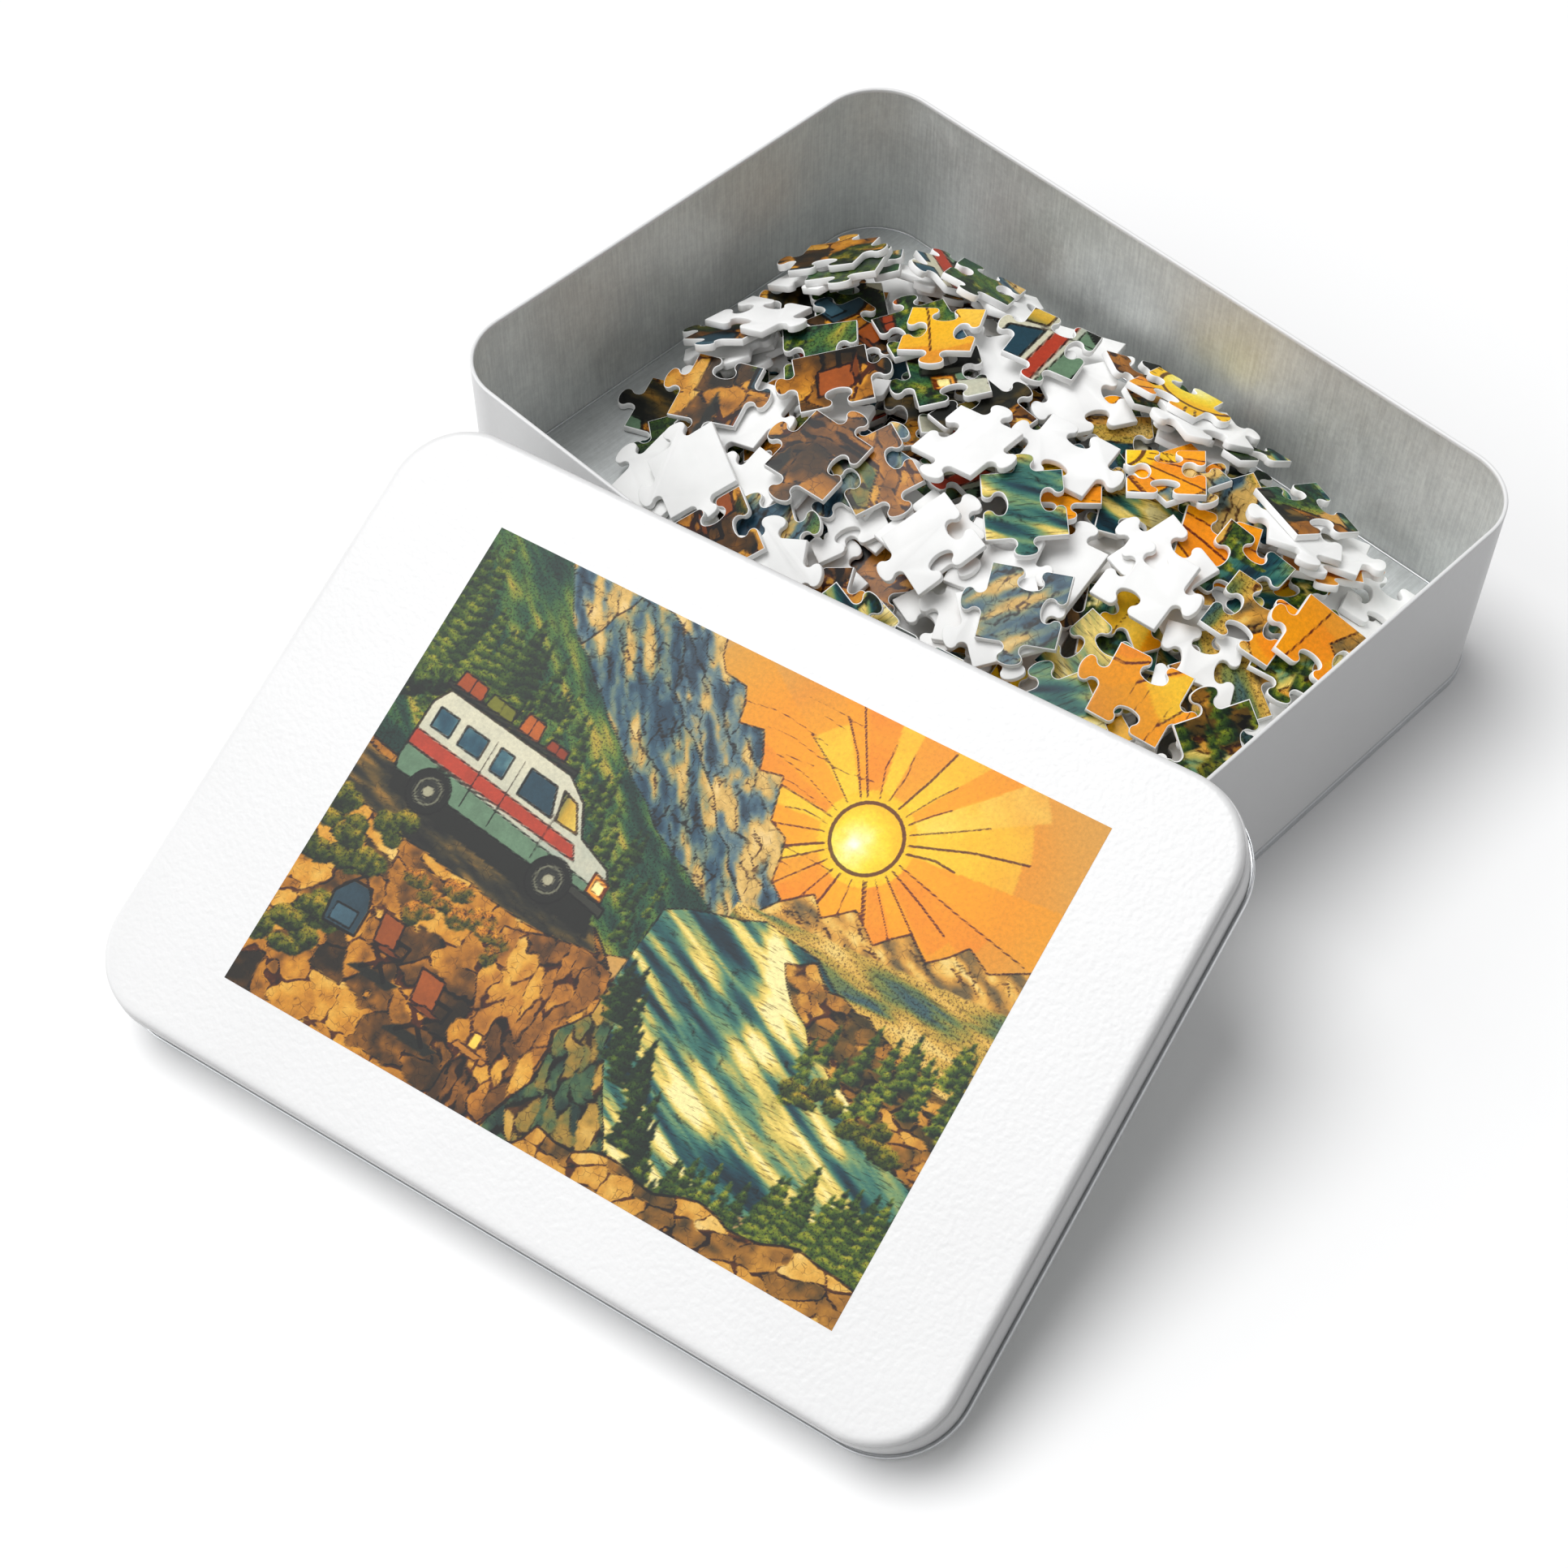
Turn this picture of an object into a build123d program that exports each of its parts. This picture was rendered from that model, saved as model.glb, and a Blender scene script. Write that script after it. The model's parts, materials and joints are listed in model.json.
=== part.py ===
from build123d import *
import math
import os
import random

import numpy as np
from scipy.spatial import ConvexHull

# Jigsaw puzzle in a white metal tin. The open tin stands on the ground with the origin at the
# centre of its underside, X along its long side and Z up. The lid leans on the tin: one long
# edge stands on the ground and the other lies across the rim. 192 loose pieces are heaped
# inside the tin. All sizes are in millimetres.

tiny = 0.01  # heights closer than this are the same

# Tin
tin_length = 220.0
tin_width = 157.0
tin_height = 59.2
tin_corner = 18.0  # outer radius of the upright corners
sheet = 0.3  # tinplate
rim_bead = 1.0  # width of the edge rolled inwards at the mouth
rim_bead_height = 1.3
rim_bead_edge = 0.45  # radius of the bead's two upper edges
base_rise = 9.0  # ground to the underside of the countersunk base panel
base_radius = 0.8  # bend between the base panel and its upright flange
seam_height = 3.0
seam_edge = 0.4  # radius of the seam's two upper edges
seam_proud = 0.5  # how far the base seam stands outside the wall
seam_inner = 1.1  # how far the base seam reaches inside the wall's outer face
seam_hook = 1.0  # ground to the bottom of the groove that holds the wall
seam_play = 0.05  # gap each side of the wall in that groove

# Lid
lid_height = 17.2
lid_clearance = 1.0  # between the tin's outer face and the inside of the skirt
lid_step_inset = 0.6  # the cap stands this far inside the skirt
lid_step_depth = 4.1  # top face to the step between cap and skirt
lid_step_radius = 0.4
lid_shoulder = 1.9  # radius of the cap's edge
lid_curl = 2.4  # height of the flattened roll along the lower edge
lid_curl_proud = 0.9  # how far the roll stands outside the skirt
lid_curl_edge = 0.45  # radius of the roll's lower corners

# Picture printed on the lid
print_length = 160.4
print_width = 121.0
print_film = 0.05
print_shift_x = 1.7
print_shift_y = -0.7

# How the lid leans
lean_yaw = 12.94  # degrees about Z
lean_reach = 10.4  # middle of the upper edge to the outer face of the tin's front wall
lean_middle = 21.6  # X of the middle of the upper edge
rest_gap = 0.1  # between the lid's roll and the rim that it lies on

# Puzzle
piece_columns = 16
piece_rows = 12
piece_length = 19.8  # pitch of the cut lines along the picture
piece_width = 20.0  # pitch of the cut lines up the picture
piece_thickness = 2.0
cut_wander = 0.5  # how far a crossing of two cut lines strays from its place
knob_height = 5.9
knob_half_width = 3.3
knob_corner = 1.5  # radius at each side of the head
knob_crown = 5.5  # radius across the top of the head
knob_neck = 1.5  # radius where the knob grows out of the side
knob_slide = 1.0  # how far a knob strays along its side
knob_spread = 0.08  # share by which knobs differ in size
cut_seed = 11

# Heap
heap_gap = 0.15  # least upright gap between pieces
heap_cell = 0.6  # spacing of the grid on which the heap's upper surface is kept
heap_margin = 2.0  # pieces to wall
heap_tries = 7  # places tried for each piece
heap_steepest = 0.62  # steepest slope at which a piece stays put
slope_worth = 40.0  # height that counts against a place for each unit of slope beyond that
heap_seed = 5
mound_height = 35.0
mound_middle_x = 0.0
mound_middle_y = 24.0
mound_over_x = 62.0  # the mound would run out half the tin's length and this far from its middle
mound_over_y = 20.0  # and half the tin's width and this far
mound_fullness = 0.8  # 1 for a paraboloid, less for a flatter top
bare_left = 36.0  # radius left nearly empty round the far left corner
bare_right = 14.0  # the same round the far right corner
bare_fade = 10.0  # width over which the mound rises from there

# Loose pieces on top of the heap that can be picked up one by one
loose_pieces = 10
loose_spacing = 28.0  # least distance between two of them


def inset_outline(inset):
    """The tin's outer outline moved inwards by inset, or outwards if it is negative."""
    RectangleRounded(tin_length - 2 * inset, tin_width - 2 * inset, tin_corner - inset)


# ---------------------------------------------------------------- tin wall
with BuildPart() as tin_wall:
    with BuildSketch(Plane.XY.offset(seam_hook)):
        inset_outline(0)
        with BuildSketch(mode=Mode.PRIVATE) as wall_inside:
            inset_outline(sheet)
        add(wall_inside.sketch, mode=Mode.SUBTRACT)
    extrude(amount=tin_height - seam_hook)
    with BuildSketch(Plane.XY.offset(tin_height - rim_bead_height)):
        inset_outline(0)
        with BuildSketch(mode=Mode.PRIVATE) as bead_inside:
            inset_outline(rim_bead)
        add(bead_inside.sketch, mode=Mode.SUBTRACT)
    extrude(amount=rim_bead_height)
    rim_edges = tin_wall.edges().group_by(Axis.Z)[-1]
    fillet(rim_edges, radius=rim_bead_edge)
tin_wall.part.label = "tin_wall"

# ---------------------------------------------------------------- tin base
floor_top = base_rise + sheet
with BuildPart() as tin_base:
    with BuildSketch():
        inset_outline(-seam_proud)
        with BuildSketch(mode=Mode.PRIVATE) as seam_inside:
            inset_outline(seam_inner)
        add(seam_inside.sketch, mode=Mode.SUBTRACT)
    extrude(amount=seam_height)
    seam_edges = tin_base.edges().filter_by(lambda edge: abs(edge.center().Z - seam_height) < tiny)
    fillet(seam_edges, radius=seam_edge)
    with BuildSketch(Plane.XY.offset(seam_hook)):
        inset_outline(-seam_play)
        with BuildSketch(mode=Mode.PRIVATE) as groove_inside:
            inset_outline(sheet + seam_play)
        add(groove_inside.sketch, mode=Mode.SUBTRACT)
    extrude(amount=seam_height, mode=Mode.SUBTRACT)
    with BuildSketch(Plane.XY.offset(seam_hook)):
        inset_outline(sheet + seam_play)
    extrude(amount=floor_top - seam_hook)
    panel_edges = tin_base.edges().group_by(Axis.Z)[-1]
    fillet(panel_edges, radius=base_radius)
    with BuildSketch():
        inset_outline(seam_inner)
    extrude(amount=base_rise, mode=Mode.SUBTRACT)
tin_base.part.label = "tin_base"

# ---------------------------------------------------------------- lid
lid_length = tin_length + 2 * (lid_clearance + sheet)
lid_width = tin_width + 2 * (lid_clearance + sheet)
lid_corner = tin_corner + lid_clearance + sheet
step_height = lid_height - lid_step_depth
# The roll's outer lower corner stands on the ground, its inner lower corner lies on the rim.
ground_corner = -lid_width / 2 - lid_curl_proud + lid_curl_edge
rim_corner = lid_width / 2 - sheet + lid_curl_edge
lean_angle = math.degrees(math.asin((tin_height + rest_gap) / (rim_corner - ground_corner)))


def lid_plane():
    """Plane of the lid's lower edge: X along the lid, Y up its slope and Z out of its top."""
    yaw = math.radians(lean_yaw)
    tilt = math.radians(lean_angle)
    along = Vector(math.cos(yaw), math.sin(yaw), 0)
    up_slope = Vector(-math.sin(yaw) * math.cos(tilt), math.cos(yaw) * math.cos(tilt), math.sin(tilt))
    out_of_top = along.cross(up_slope)
    upper = Vector(lean_middle, lean_reach - tin_width / 2, tin_height + rest_gap + lid_curl_edge)
    origin = upper - up_slope * rim_corner - out_of_top * lid_curl_edge
    return Plane(origin=origin, x_dir=along, z_dir=out_of_top)


def lid_outline(inset):
    """The skirt's outer outline moved inwards by inset, or outwards if it is negative."""
    RectangleRounded(lid_length - 2 * inset, lid_width - 2 * inset, lid_corner - inset)


leaning = lid_plane()
lid_axis = Axis(leaning.origin, leaning.z_dir)

with BuildPart() as lid_hollow:
    with BuildSketch(leaning):
        lid_outline(sheet)
    extrude(amount=step_height - sheet)
    with BuildSketch(leaning.offset(step_height / 2)):
        lid_outline(lid_step_inset + sheet)
    extrude(amount=lid_height - sheet - step_height / 2)
    fillet(lid_hollow.faces().sort_by(lid_axis)[-1].edges(), radius=lid_shoulder - sheet)

with BuildPart() as lid_shell:
    with BuildSketch(leaning):
        lid_outline(-lid_curl_proud)
    extrude(amount=lid_curl)
    fillet(lid_shell.faces().sort_by(lid_axis)[-1].edges(), radius=lid_curl_edge)
    fillet(lid_shell.faces().sort_by(lid_axis)[0].edges(), radius=lid_curl_edge)
    with BuildSketch(leaning.offset(lid_curl / 2)):
        lid_outline(0)
    extrude(amount=step_height - lid_curl / 2)
    fillet(lid_shell.faces().sort_by(lid_axis)[-1].edges(), radius=lid_step_radius)
    with BuildSketch(leaning.offset(step_height / 2)):
        lid_outline(lid_step_inset)
    extrude(amount=lid_height - step_height / 2)
    fillet(lid_shell.faces().sort_by(lid_axis)[-1].edges(), radius=lid_shoulder)
    add(lid_hollow.part, mode=Mode.SUBTRACT)
    lower_face = lid_shell.faces().sort_by(lid_axis)[0]
    fillet(lower_face.inner_wires()[0].edges(), radius=lid_curl_edge)
lid_shell.part.label = "lid_shell"

with BuildPart() as lid_print:
    with BuildSketch(leaning.offset(lid_height)):
        with Locations((print_shift_x, print_shift_y)):
            Rectangle(print_length, print_width)
    extrude(amount=print_film)
lid_print.part.label = "lid_print"

# ---------------------------------------------------------------- puzzle pieces
cutter = random.Random(cut_seed)


def cut_crossings():
    """Where the cut lines cross, in the picture's own plane."""
    crossings = {}
    for column in range(piece_columns + 1):
        for row in range(piece_rows + 1):
            stray_x = cutter.uniform(-cut_wander, cut_wander)
            stray_y = cutter.uniform(-cut_wander, cut_wander)
            if column in (0, piece_columns):
                stray_x = 0
            if row in (0, piece_rows):
                stray_y = 0
            crossings[column, row] = Vector(column * piece_length + stray_x, row * piece_width + stray_y)
    return crossings


def cut_knobs():
    """Side, place and size of the knob on every cut between two neighbours."""
    knobs = {}
    for column in range(piece_columns + 1):
        for row in range(piece_rows + 1):
            for direction in ("along", "up"):
                knobs[column, row, direction] = (
                    cutter.choice((-1, 1)),
                    cutter.uniform(-knob_slide, knob_slide),
                    cutter.uniform(1 - knob_spread, 1 + knob_spread),
                )
    return knobs


def knob_arcs(size):
    """Half of a knob as arcs of three points each, from the neck to the crown, at x below zero."""
    height = knob_height * size
    corner_x = -(knob_half_width * size - knob_corner)
    crown = Vector(0, height - knob_crown)
    corner = crown + Vector(corner_x, math.sqrt((knob_crown - knob_corner) ** 2 - corner_x**2))
    neck_to_corner = knob_neck + knob_corner
    neck = Vector(corner_x - math.sqrt(neck_to_corner**2 - (corner.Y - knob_neck) ** 2), knob_neck)
    at_corner = (corner - neck).normalized()
    at_crown = (corner - crown).normalized()
    neck_bend = (Vector(0, -1) + at_corner).normalized()
    corner_bend = (at_crown - at_corner).normalized()
    side = neck - Vector(0, knob_neck)
    head = neck + at_corner * knob_neck
    shoulder = crown + at_crown * knob_crown
    return [(side, neck + neck_bend * knob_neck, head), (head, corner + corner_bend * knob_corner, shoulder)]


def cut_side(start, end, knob):
    """Curves of one side of a piece from start to end, with a knob or straight if it is None."""
    if knob is None:
        return [(start, None, end)]
    turn, slide, size = knob
    along = (end - start).normalized()
    out = Vector(-along.Y, along.X) * turn
    foot = (start + end) / 2 + along * slide

    def place(point, mirror=1):
        return foot + along * (point.X * mirror) + out * point.Y

    half = knob_arcs(size)
    crown_start, crown_end = place(half[1][2]), place(half[1][2], -1)
    curves = [(start, None, place(half[0][0]))]
    curves += [tuple(place(point) for point in arc) for arc in half]
    curves.append((crown_start, place(Vector(0, knob_height * size)), crown_end))
    curves += [tuple(place(point, -1) for point in reversed(arc)) for arc in reversed(half)]
    curves.append((place(half[0][0], -1), None, end))
    return curves


def piece_curves(column, row, crossings, knobs):
    """The outline of a piece, anticlockwise, round the middle of its place in the picture."""
    middle = Vector((column + 0.5) * piece_length, (row + 0.5) * piece_width)
    corners = [
        crossings[spot] - middle
        for spot in ((column, row), (column + 1, row), (column + 1, row + 1), (column, row + 1))
    ]
    below = knobs[column, row, "along"] if row > 0 else None
    right = knobs[column + 1, row, "up"] if column < piece_columns - 1 else None
    above = knobs[column, row + 1, "along"] if row < piece_rows - 1 else None
    left = knobs[column, row, "up"] if column > 0 else None
    curves = cut_side(corners[0], corners[1], below)
    curves += cut_side(corners[1], corners[2], right)
    for start, end, knob in ((corners[3], corners[2], above), (corners[0], corners[3], left)):
        side = cut_side(start, end, knob)
        turned = [tuple(reversed(curve)) for curve in reversed(side)]
        curves += turned
    return curves


def draw_outline(curves):
    """Draws the curves in the line being built."""
    for start, middle, end in curves:
        if middle is None:
            Line(start, end)
        else:
            ThreePointArc(start, middle, end)


crossings = cut_crossings()
knobs = cut_knobs()
outlines = {
    (column, row): piece_curves(column, row, crossings, knobs)
    for row in range(piece_rows)
    for column in range(piece_columns)
}

# ---------------------------------------------------------------- heap
# The heap is dropped one piece at a time. Its upper surface is kept as heights on a grid, and a
# piece comes to rest on the highest points under it, where its middle lies lowest.
dropper = random.Random(heap_seed)
heap_length = tin_length - 2 * (sheet + heap_margin)
heap_width = tin_width - 2 * (sheet + heap_margin)
heap_corner = tin_corner - sheet - heap_margin
grid_x = np.arange(-heap_length / 2, heap_length / 2 + heap_cell, heap_cell)
grid_y = np.arange(-heap_width / 2, heap_width / 2 + heap_cell, heap_cell)
beyond_x = np.maximum(np.abs(grid_x)[:, None] - (heap_length / 2 - heap_corner), 0)
beyond_y = np.maximum(np.abs(grid_y)[None, :] - (heap_width / 2 - heap_corner), 0)
inside_heap = np.hypot(beyond_x, beyond_y) <= heap_corner
surface = np.full(inside_heap.shape, floor_top)


def sample_points(curves):
    """Points all over a piece's outline and inside it, as an array of x and y."""
    rim = []
    for start, middle, end in curves:
        edge = Edge.make_line(start, end) if middle is None else Edge.make_three_point_arc(start, middle, end)
        count = max(2, math.ceil(edge.length / (heap_cell / 2)))
        rim += [edge.position_at(step / count) for step in range(count)]
    rim = np.array([(point.X, point.Y) for point in rim])
    reach = np.abs(rim).max()
    spots = np.arange(-reach, reach, heap_cell / math.sqrt(2))
    grid = np.array([(x, y) for x in spots for y in spots])
    start, end = rim, np.roll(rim, -1, axis=0)
    above = (start[:, 1] > grid[:, 1, None]) != (end[:, 1] > grid[:, 1, None])
    rise = np.where(np.abs(end[:, 1] - start[:, 1]) < 1e-9, 1e-9, end[:, 1] - start[:, 1])
    cross_x = start[:, 0] + (grid[:, 1, None] - start[:, 1]) * (end[:, 0] - start[:, 0]) / rise
    within = (above & (grid[:, 0, None] < cross_x)).sum(axis=1) % 2 == 1
    return np.vstack((rim, grid[within]))


def resting_plane(centre, slope, height, heading, face_up):
    """Plane of a piece's back, with Z out of its printed face, for a given slope and height."""
    normal = Vector(-slope[0], -slope[1], 1).normalized()
    along = Vector(math.cos(heading), math.sin(heading), 0)
    along = (along - normal * along.dot(normal)).normalized()
    if face_up:
        return Plane(origin=(*centre, height), x_dir=along, z_dir=normal)
    upper = Vector(*centre, height) + normal * piece_thickness
    return Plane(origin=upper, x_dir=along, z_dir=-normal)


def covered(samples, plane):
    """Grid points round every cell that a piece on this plane covers, or None outside the heap."""
    along, across, normal, origin = (
        np.array(tuple(vector)) for vector in (plane.x_dir, plane.y_dir, plane.z_dir, plane.origin)
    )
    back = origin + samples[:, :1] * along + samples[:, 1:] * across
    face = back + normal * piece_thickness
    spots = np.vstack((back, face))[:, :2]
    cells = np.floor((spots - (grid_x[0], grid_y[0])) / heap_cell).astype(int)
    lowest, highest = cells.min(axis=0), cells.max(axis=0)
    if lowest.min() < 0 or (highest + 1 >= surface.shape).any():
        return None
    touched = np.zeros(highest - lowest + 2, bool)
    touched[cells[:, 0] - lowest[0], cells[:, 1] - lowest[1]] = True
    touched[1:] |= touched[:-1]
    touched[:, 1:] |= touched[:, :-1]
    corners = np.argwhere(touched) + lowest
    return corners if inside_heap[corners[:, 0], corners[:, 1]].all() else None


def settle(samples, centre, heading, face_up):
    """Slope, height and covered grid points of a piece dropped here, or None outside the heap."""
    slope = (0.0, 0.0)
    for _ in range(3):
        corners = covered(samples, resting_plane(centre, slope, 0, heading, face_up))
        if corners is None:
            return None
        ground = surface[corners[:, 0], corners[:, 1]]
        across = grid_x[corners[:, 0]] - centre[0]
        beyond = grid_y[corners[:, 1]] - centre[1]
        points = np.column_stack((across, beyond, ground))
        hull = ConvexHull(np.vstack((points, (0, 0, -tin_height))))
        upper = hull.equations[hull.equations[:, 2] > 1e-9]
        facet = upper[np.argmin(-upper[:, 3] / upper[:, 2])]
        slope = (-facet[0] / facet[2], -facet[1] / facet[2])
    corners = covered(samples, resting_plane(centre, slope, 0, heading, face_up))
    if corners is None:
        return None
    rise = (grid_x[corners[:, 0]] - centre[0]) * slope[0]
    rise += (grid_y[corners[:, 1]] - centre[1]) * slope[1]
    height = (surface[corners[:, 0], corners[:, 1]] - rise).max() + heap_gap
    return slope, height, corners, rise


def mound(centre):
    """Height that the finished heap should have here."""
    across = ((centre[0] - mound_middle_x) / (tin_length / 2 + mound_over_x)) ** 2
    across += ((centre[1] - mound_middle_y) / (tin_width / 2 + mound_over_y)) ** 2
    height = mound_height * max(0, 1 - across) ** mound_fullness
    for side, bare in ((-1, bare_left), (1, bare_right)):
        corner_distance = math.dist(centre, (side * tin_length / 2, tin_width / 2))
        height *= min(1, max(0, (corner_distance - bare) / bare_fade))
    return floor_top + height


def drop_piece(samples):
    """Tries some places for a piece and takes the one where the heap lacks most."""
    face_up = dropper.random() < 0.5
    best = None
    tried = 0
    while tried < heap_tries or best is None:
        centre = (
            dropper.uniform(-heap_length / 2, heap_length / 2),
            dropper.uniform(-heap_width / 2, heap_width / 2),
        )
        heading = dropper.uniform(0, 2 * math.pi)
        rest = settle(samples, centre, heading, face_up)
        if rest is None:
            continue
        tried += 1
        slope, height, corners, rise = rest
        steepness = math.hypot(*slope)
        excess = height + piece_thickness - mound(centre)
        excess += slope_worth * max(0, steepness - heap_steepest)
        if best is None or excess < best[0]:
            best = (excess, centre, heading, rest)
    excess, centre, heading, (slope, height, corners, rise) = best
    top = height + rise + piece_thickness * math.hypot(1, *slope)
    surface[corners[:, 0], corners[:, 1]] = top
    return {
        "centre": centre,
        "plane": resting_plane(centre, slope, height, heading, face_up),
        "corners": corners,
        "top": top,
        "height": height,
    }


order = sorted(outlines)
dropper.shuffle(order)
heap = {place: drop_piece(sample_points(outlines[place])) for place in order}


def lid_covers(centre):
    """Whether a piece here lies wholly or partly below the lid."""
    local = leaning.to_local_coords(Vector(*centre, tin_height))
    return local.Y < rim_corner + piece_length


def pick_loose():
    """Uncovered pieces, highest first, that can be lifted straight out and stand well apart."""
    free = [
        place
        for place in order
        if (surface[tuple(heap[place]["corners"].T)] <= heap[place]["top"] + tiny).all()
        and not lid_covers(heap[place]["centre"])
    ]
    picked = []
    for place in sorted(free, key=lambda place: -heap[place]["height"]):
        centre = heap[place]["centre"]
        apart = all(math.dist(centre, heap[other]["centre"]) > loose_spacing for other in picked)
        if apart and len(picked) < loose_pieces:
            picked.append(place)
    return picked


loose = pick_loose()


def piece_face(place):
    """The back of a piece, as a face where it lies in the heap."""
    with BuildSketch(heap[place]["plane"]) as back:
        with BuildLine():
            draw_outline(outlines[place])
        make_face()
    return back.sketch


nodes = [tin_wall, tin_base, lid_shell, lid_print]
for row in range(piece_rows):
    with BuildPart() as row_pieces:
        for column in range(piece_columns):
            if (column, row) not in loose:
                extrude(piece_face((column, row)), amount=piece_thickness)
    row_pieces.part.label = f"puzzle_row_{row + 1:02d}"
    nodes.append(row_pieces)
for number, place in enumerate(loose, start=1):
    with BuildPart() as loose_piece:
        extrude(piece_face(place), amount=piece_thickness)
    loose_piece.part.label = f"loose_piece_{number:02d}"
    nodes.append(loose_piece)

os.makedirs("parts", exist_ok=True)
for node in nodes:
    export_step(node.part, f"parts/{node.part.label}.step")
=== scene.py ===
import json
import math
import random

import bmesh
import bpy
import numpy as np
from mathutils import Matrix, Vector

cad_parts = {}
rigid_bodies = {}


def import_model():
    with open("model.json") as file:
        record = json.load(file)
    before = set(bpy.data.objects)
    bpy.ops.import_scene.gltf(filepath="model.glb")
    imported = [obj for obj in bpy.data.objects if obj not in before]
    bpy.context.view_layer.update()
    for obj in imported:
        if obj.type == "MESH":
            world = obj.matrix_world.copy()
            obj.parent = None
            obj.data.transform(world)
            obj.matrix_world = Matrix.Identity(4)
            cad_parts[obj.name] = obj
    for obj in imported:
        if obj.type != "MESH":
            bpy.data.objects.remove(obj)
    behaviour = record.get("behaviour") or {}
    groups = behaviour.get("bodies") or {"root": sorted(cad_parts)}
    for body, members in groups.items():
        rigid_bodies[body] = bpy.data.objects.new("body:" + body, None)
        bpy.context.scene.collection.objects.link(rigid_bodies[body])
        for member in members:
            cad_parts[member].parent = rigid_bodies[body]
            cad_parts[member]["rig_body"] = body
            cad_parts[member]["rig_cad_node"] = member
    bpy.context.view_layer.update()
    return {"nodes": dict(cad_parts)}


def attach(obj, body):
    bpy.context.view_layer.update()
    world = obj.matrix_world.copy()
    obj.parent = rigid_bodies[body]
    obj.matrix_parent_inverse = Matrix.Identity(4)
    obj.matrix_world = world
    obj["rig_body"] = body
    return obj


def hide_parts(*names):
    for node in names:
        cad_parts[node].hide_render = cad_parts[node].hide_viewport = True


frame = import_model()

# A boxed jigsaw puzzle: an open white tin with the loose pieces heaped in it, and its lid
# leaning on the rim with the puzzle's picture printed on top. Lengths are in metres, and
# sizes given in millimetres are multiplied by MM.
MM = 0.001

# ------------------------------------------------------------------ the tin and its lid, in mm
TIN_LENGTH, TIN_WIDTH, TIN_HEIGHT, TIN_CORNER = 220.0, 157.0, 59.2, 18.0
SHEET = 0.3
RIM_WIDTH, RIM_HEIGHT, RIM_PROUD, RIM_ROUND = 1.0, 1.3, 0.03, 0.42
SEAM_OUT, SEAM_IN, SEAM_HEIGHT, SEAM_ROUND = 0.5, 1.1, 3.0, 0.4
SHEET_FOOT = SEAM_HEIGHT / 3  # the wall and the pan start inside the seam
WALL_TOP_DROP = RIM_HEIGHT * 0.75  # the wall ends inside the rim roll
PAN_GAP, PAN_FLOOR, PAN_BEND = 0.33, 9.3, 0.4
BEAD_WIDTH, BEAD_HEIGHT, BEAD_SUNK, BEAD_ROUND = 0.6, 0.45, 0.3, 0.25
LID_GROWTH = 1.3  # the lid's skirt stands this far outside the tin
LID_HEIGHT, LID_STEP_DEPTH, LID_STEP_IN, LID_STEP_ROUND = 17.2, 4.1, 0.6, 0.4
LID_SHOULDER = 1.9
CURL_HEIGHT, CURL_OUT, CURL_ROUND = 2.4, 0.9, 0.2
CREVICE = 0.45  # between the skirt and the roll of its edge
# The first turn of that roll lies under the skirt.
START_REACH, START_SHEET, START_ROUND = CREVICE * 1.3, SHEET * 0.8, CURL_ROUND * 0.3
START_LEVEL, START_HEIGHT = CURL_HEIGHT * 0.12, CURL_HEIGHT * 0.25
PRINT_LENGTH, PRINT_WIDTH, PRINT_FILM = 160.4, 121.0, 0.05
PRINT_SHIFT = (1.7, -0.7)
FILM_GRID = (350, 262)  # divisions of the lid's print along and across
CORNER_STEPS = 24


# ------------------------------------------------------------------ the picture
# An ink and watercolour landscape, painted on a fine grid: colour washes, the distance to the
# nearest ink line in millimetres, and how much rock, leaf and water there is at each spot.
PICTURE_LENGTH, PICTURE_HEIGHT = 160.0, 120.0
GRAIN = 0.2  # mm between the picture's grid points
SUN = (114.0, 94.0)
SUN_REACH = 8.2
VAN_X, VAN_Y, VAN_DIP = 8, 58, 0.13  # where the camper stands, and its fall for each millimetre forwards
LATTICE, CELL_TABLE = 64, 97  # random values before the blotches and the broken rock repeat
INK_REACH = 1.0  # mm from a line beyond which its distance isn't kept

columns = np.arange(0, PICTURE_LENGTH + GRAIN, GRAIN)
lines = np.arange(0, PICTURE_HEIGHT + GRAIN, GRAIN)
PX, PY = np.meshgrid(columns, lines)
wash = np.zeros(PX.shape + (3,))
ink = np.full(PX.shape, INK_REACH)
matter = np.zeros(PX.shape + (3,))
ROCK, LEAF, WATER, SKY = (1, 0, 0), (0, 1, 0), (0, 0, 1), (0, 0, 0)


def rgb(code):
    return np.array([int(code[i : i + 2], 16) for i in (1, 3, 5)]) / 255


def ramp(amount, *codes):
    """Colour between the given ones, for an amount from 0 to 1."""
    tones = np.array([rgb(code) for code in codes])
    place = np.clip(amount, 0, 1) * (len(tones) - 1)
    low = np.minimum(place.astype(int), len(tones) - 2)
    part = (place - low)[..., None]
    return tones[low] * (1 - part) + tones[low + 1] * part


def blotch(x, y, size, seed, layers=3):
    """Soft random blotches from 0 to 1, of the given size in millimetres."""
    total, weight = 0, 0
    for layer in range(layers):
        lattice = np.random.RandomState(seed + layer).rand(LATTICE, LATTICE)
        u, v = x / size * 2**layer + 17.3, y / size * 2**layer + 9.1
        i, j = np.floor(u).astype(int), np.floor(v).astype(int)
        s, t = u - i, v - j
        s, t = s * s * (3 - 2 * s), t * t * (3 - 2 * t)
        i, j, k, m = i % LATTICE, j % LATTICE, (i + 1) % LATTICE, (j + 1) % LATTICE
        low = lattice[i, j] * (1 - s) + lattice[k, j] * s
        high = lattice[i, m] * (1 - s) + lattice[k, m] * s
        total = total + (low * (1 - t) + high * t) / 2**layer
        weight += 1 / 2**layer
    return total / weight


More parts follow.
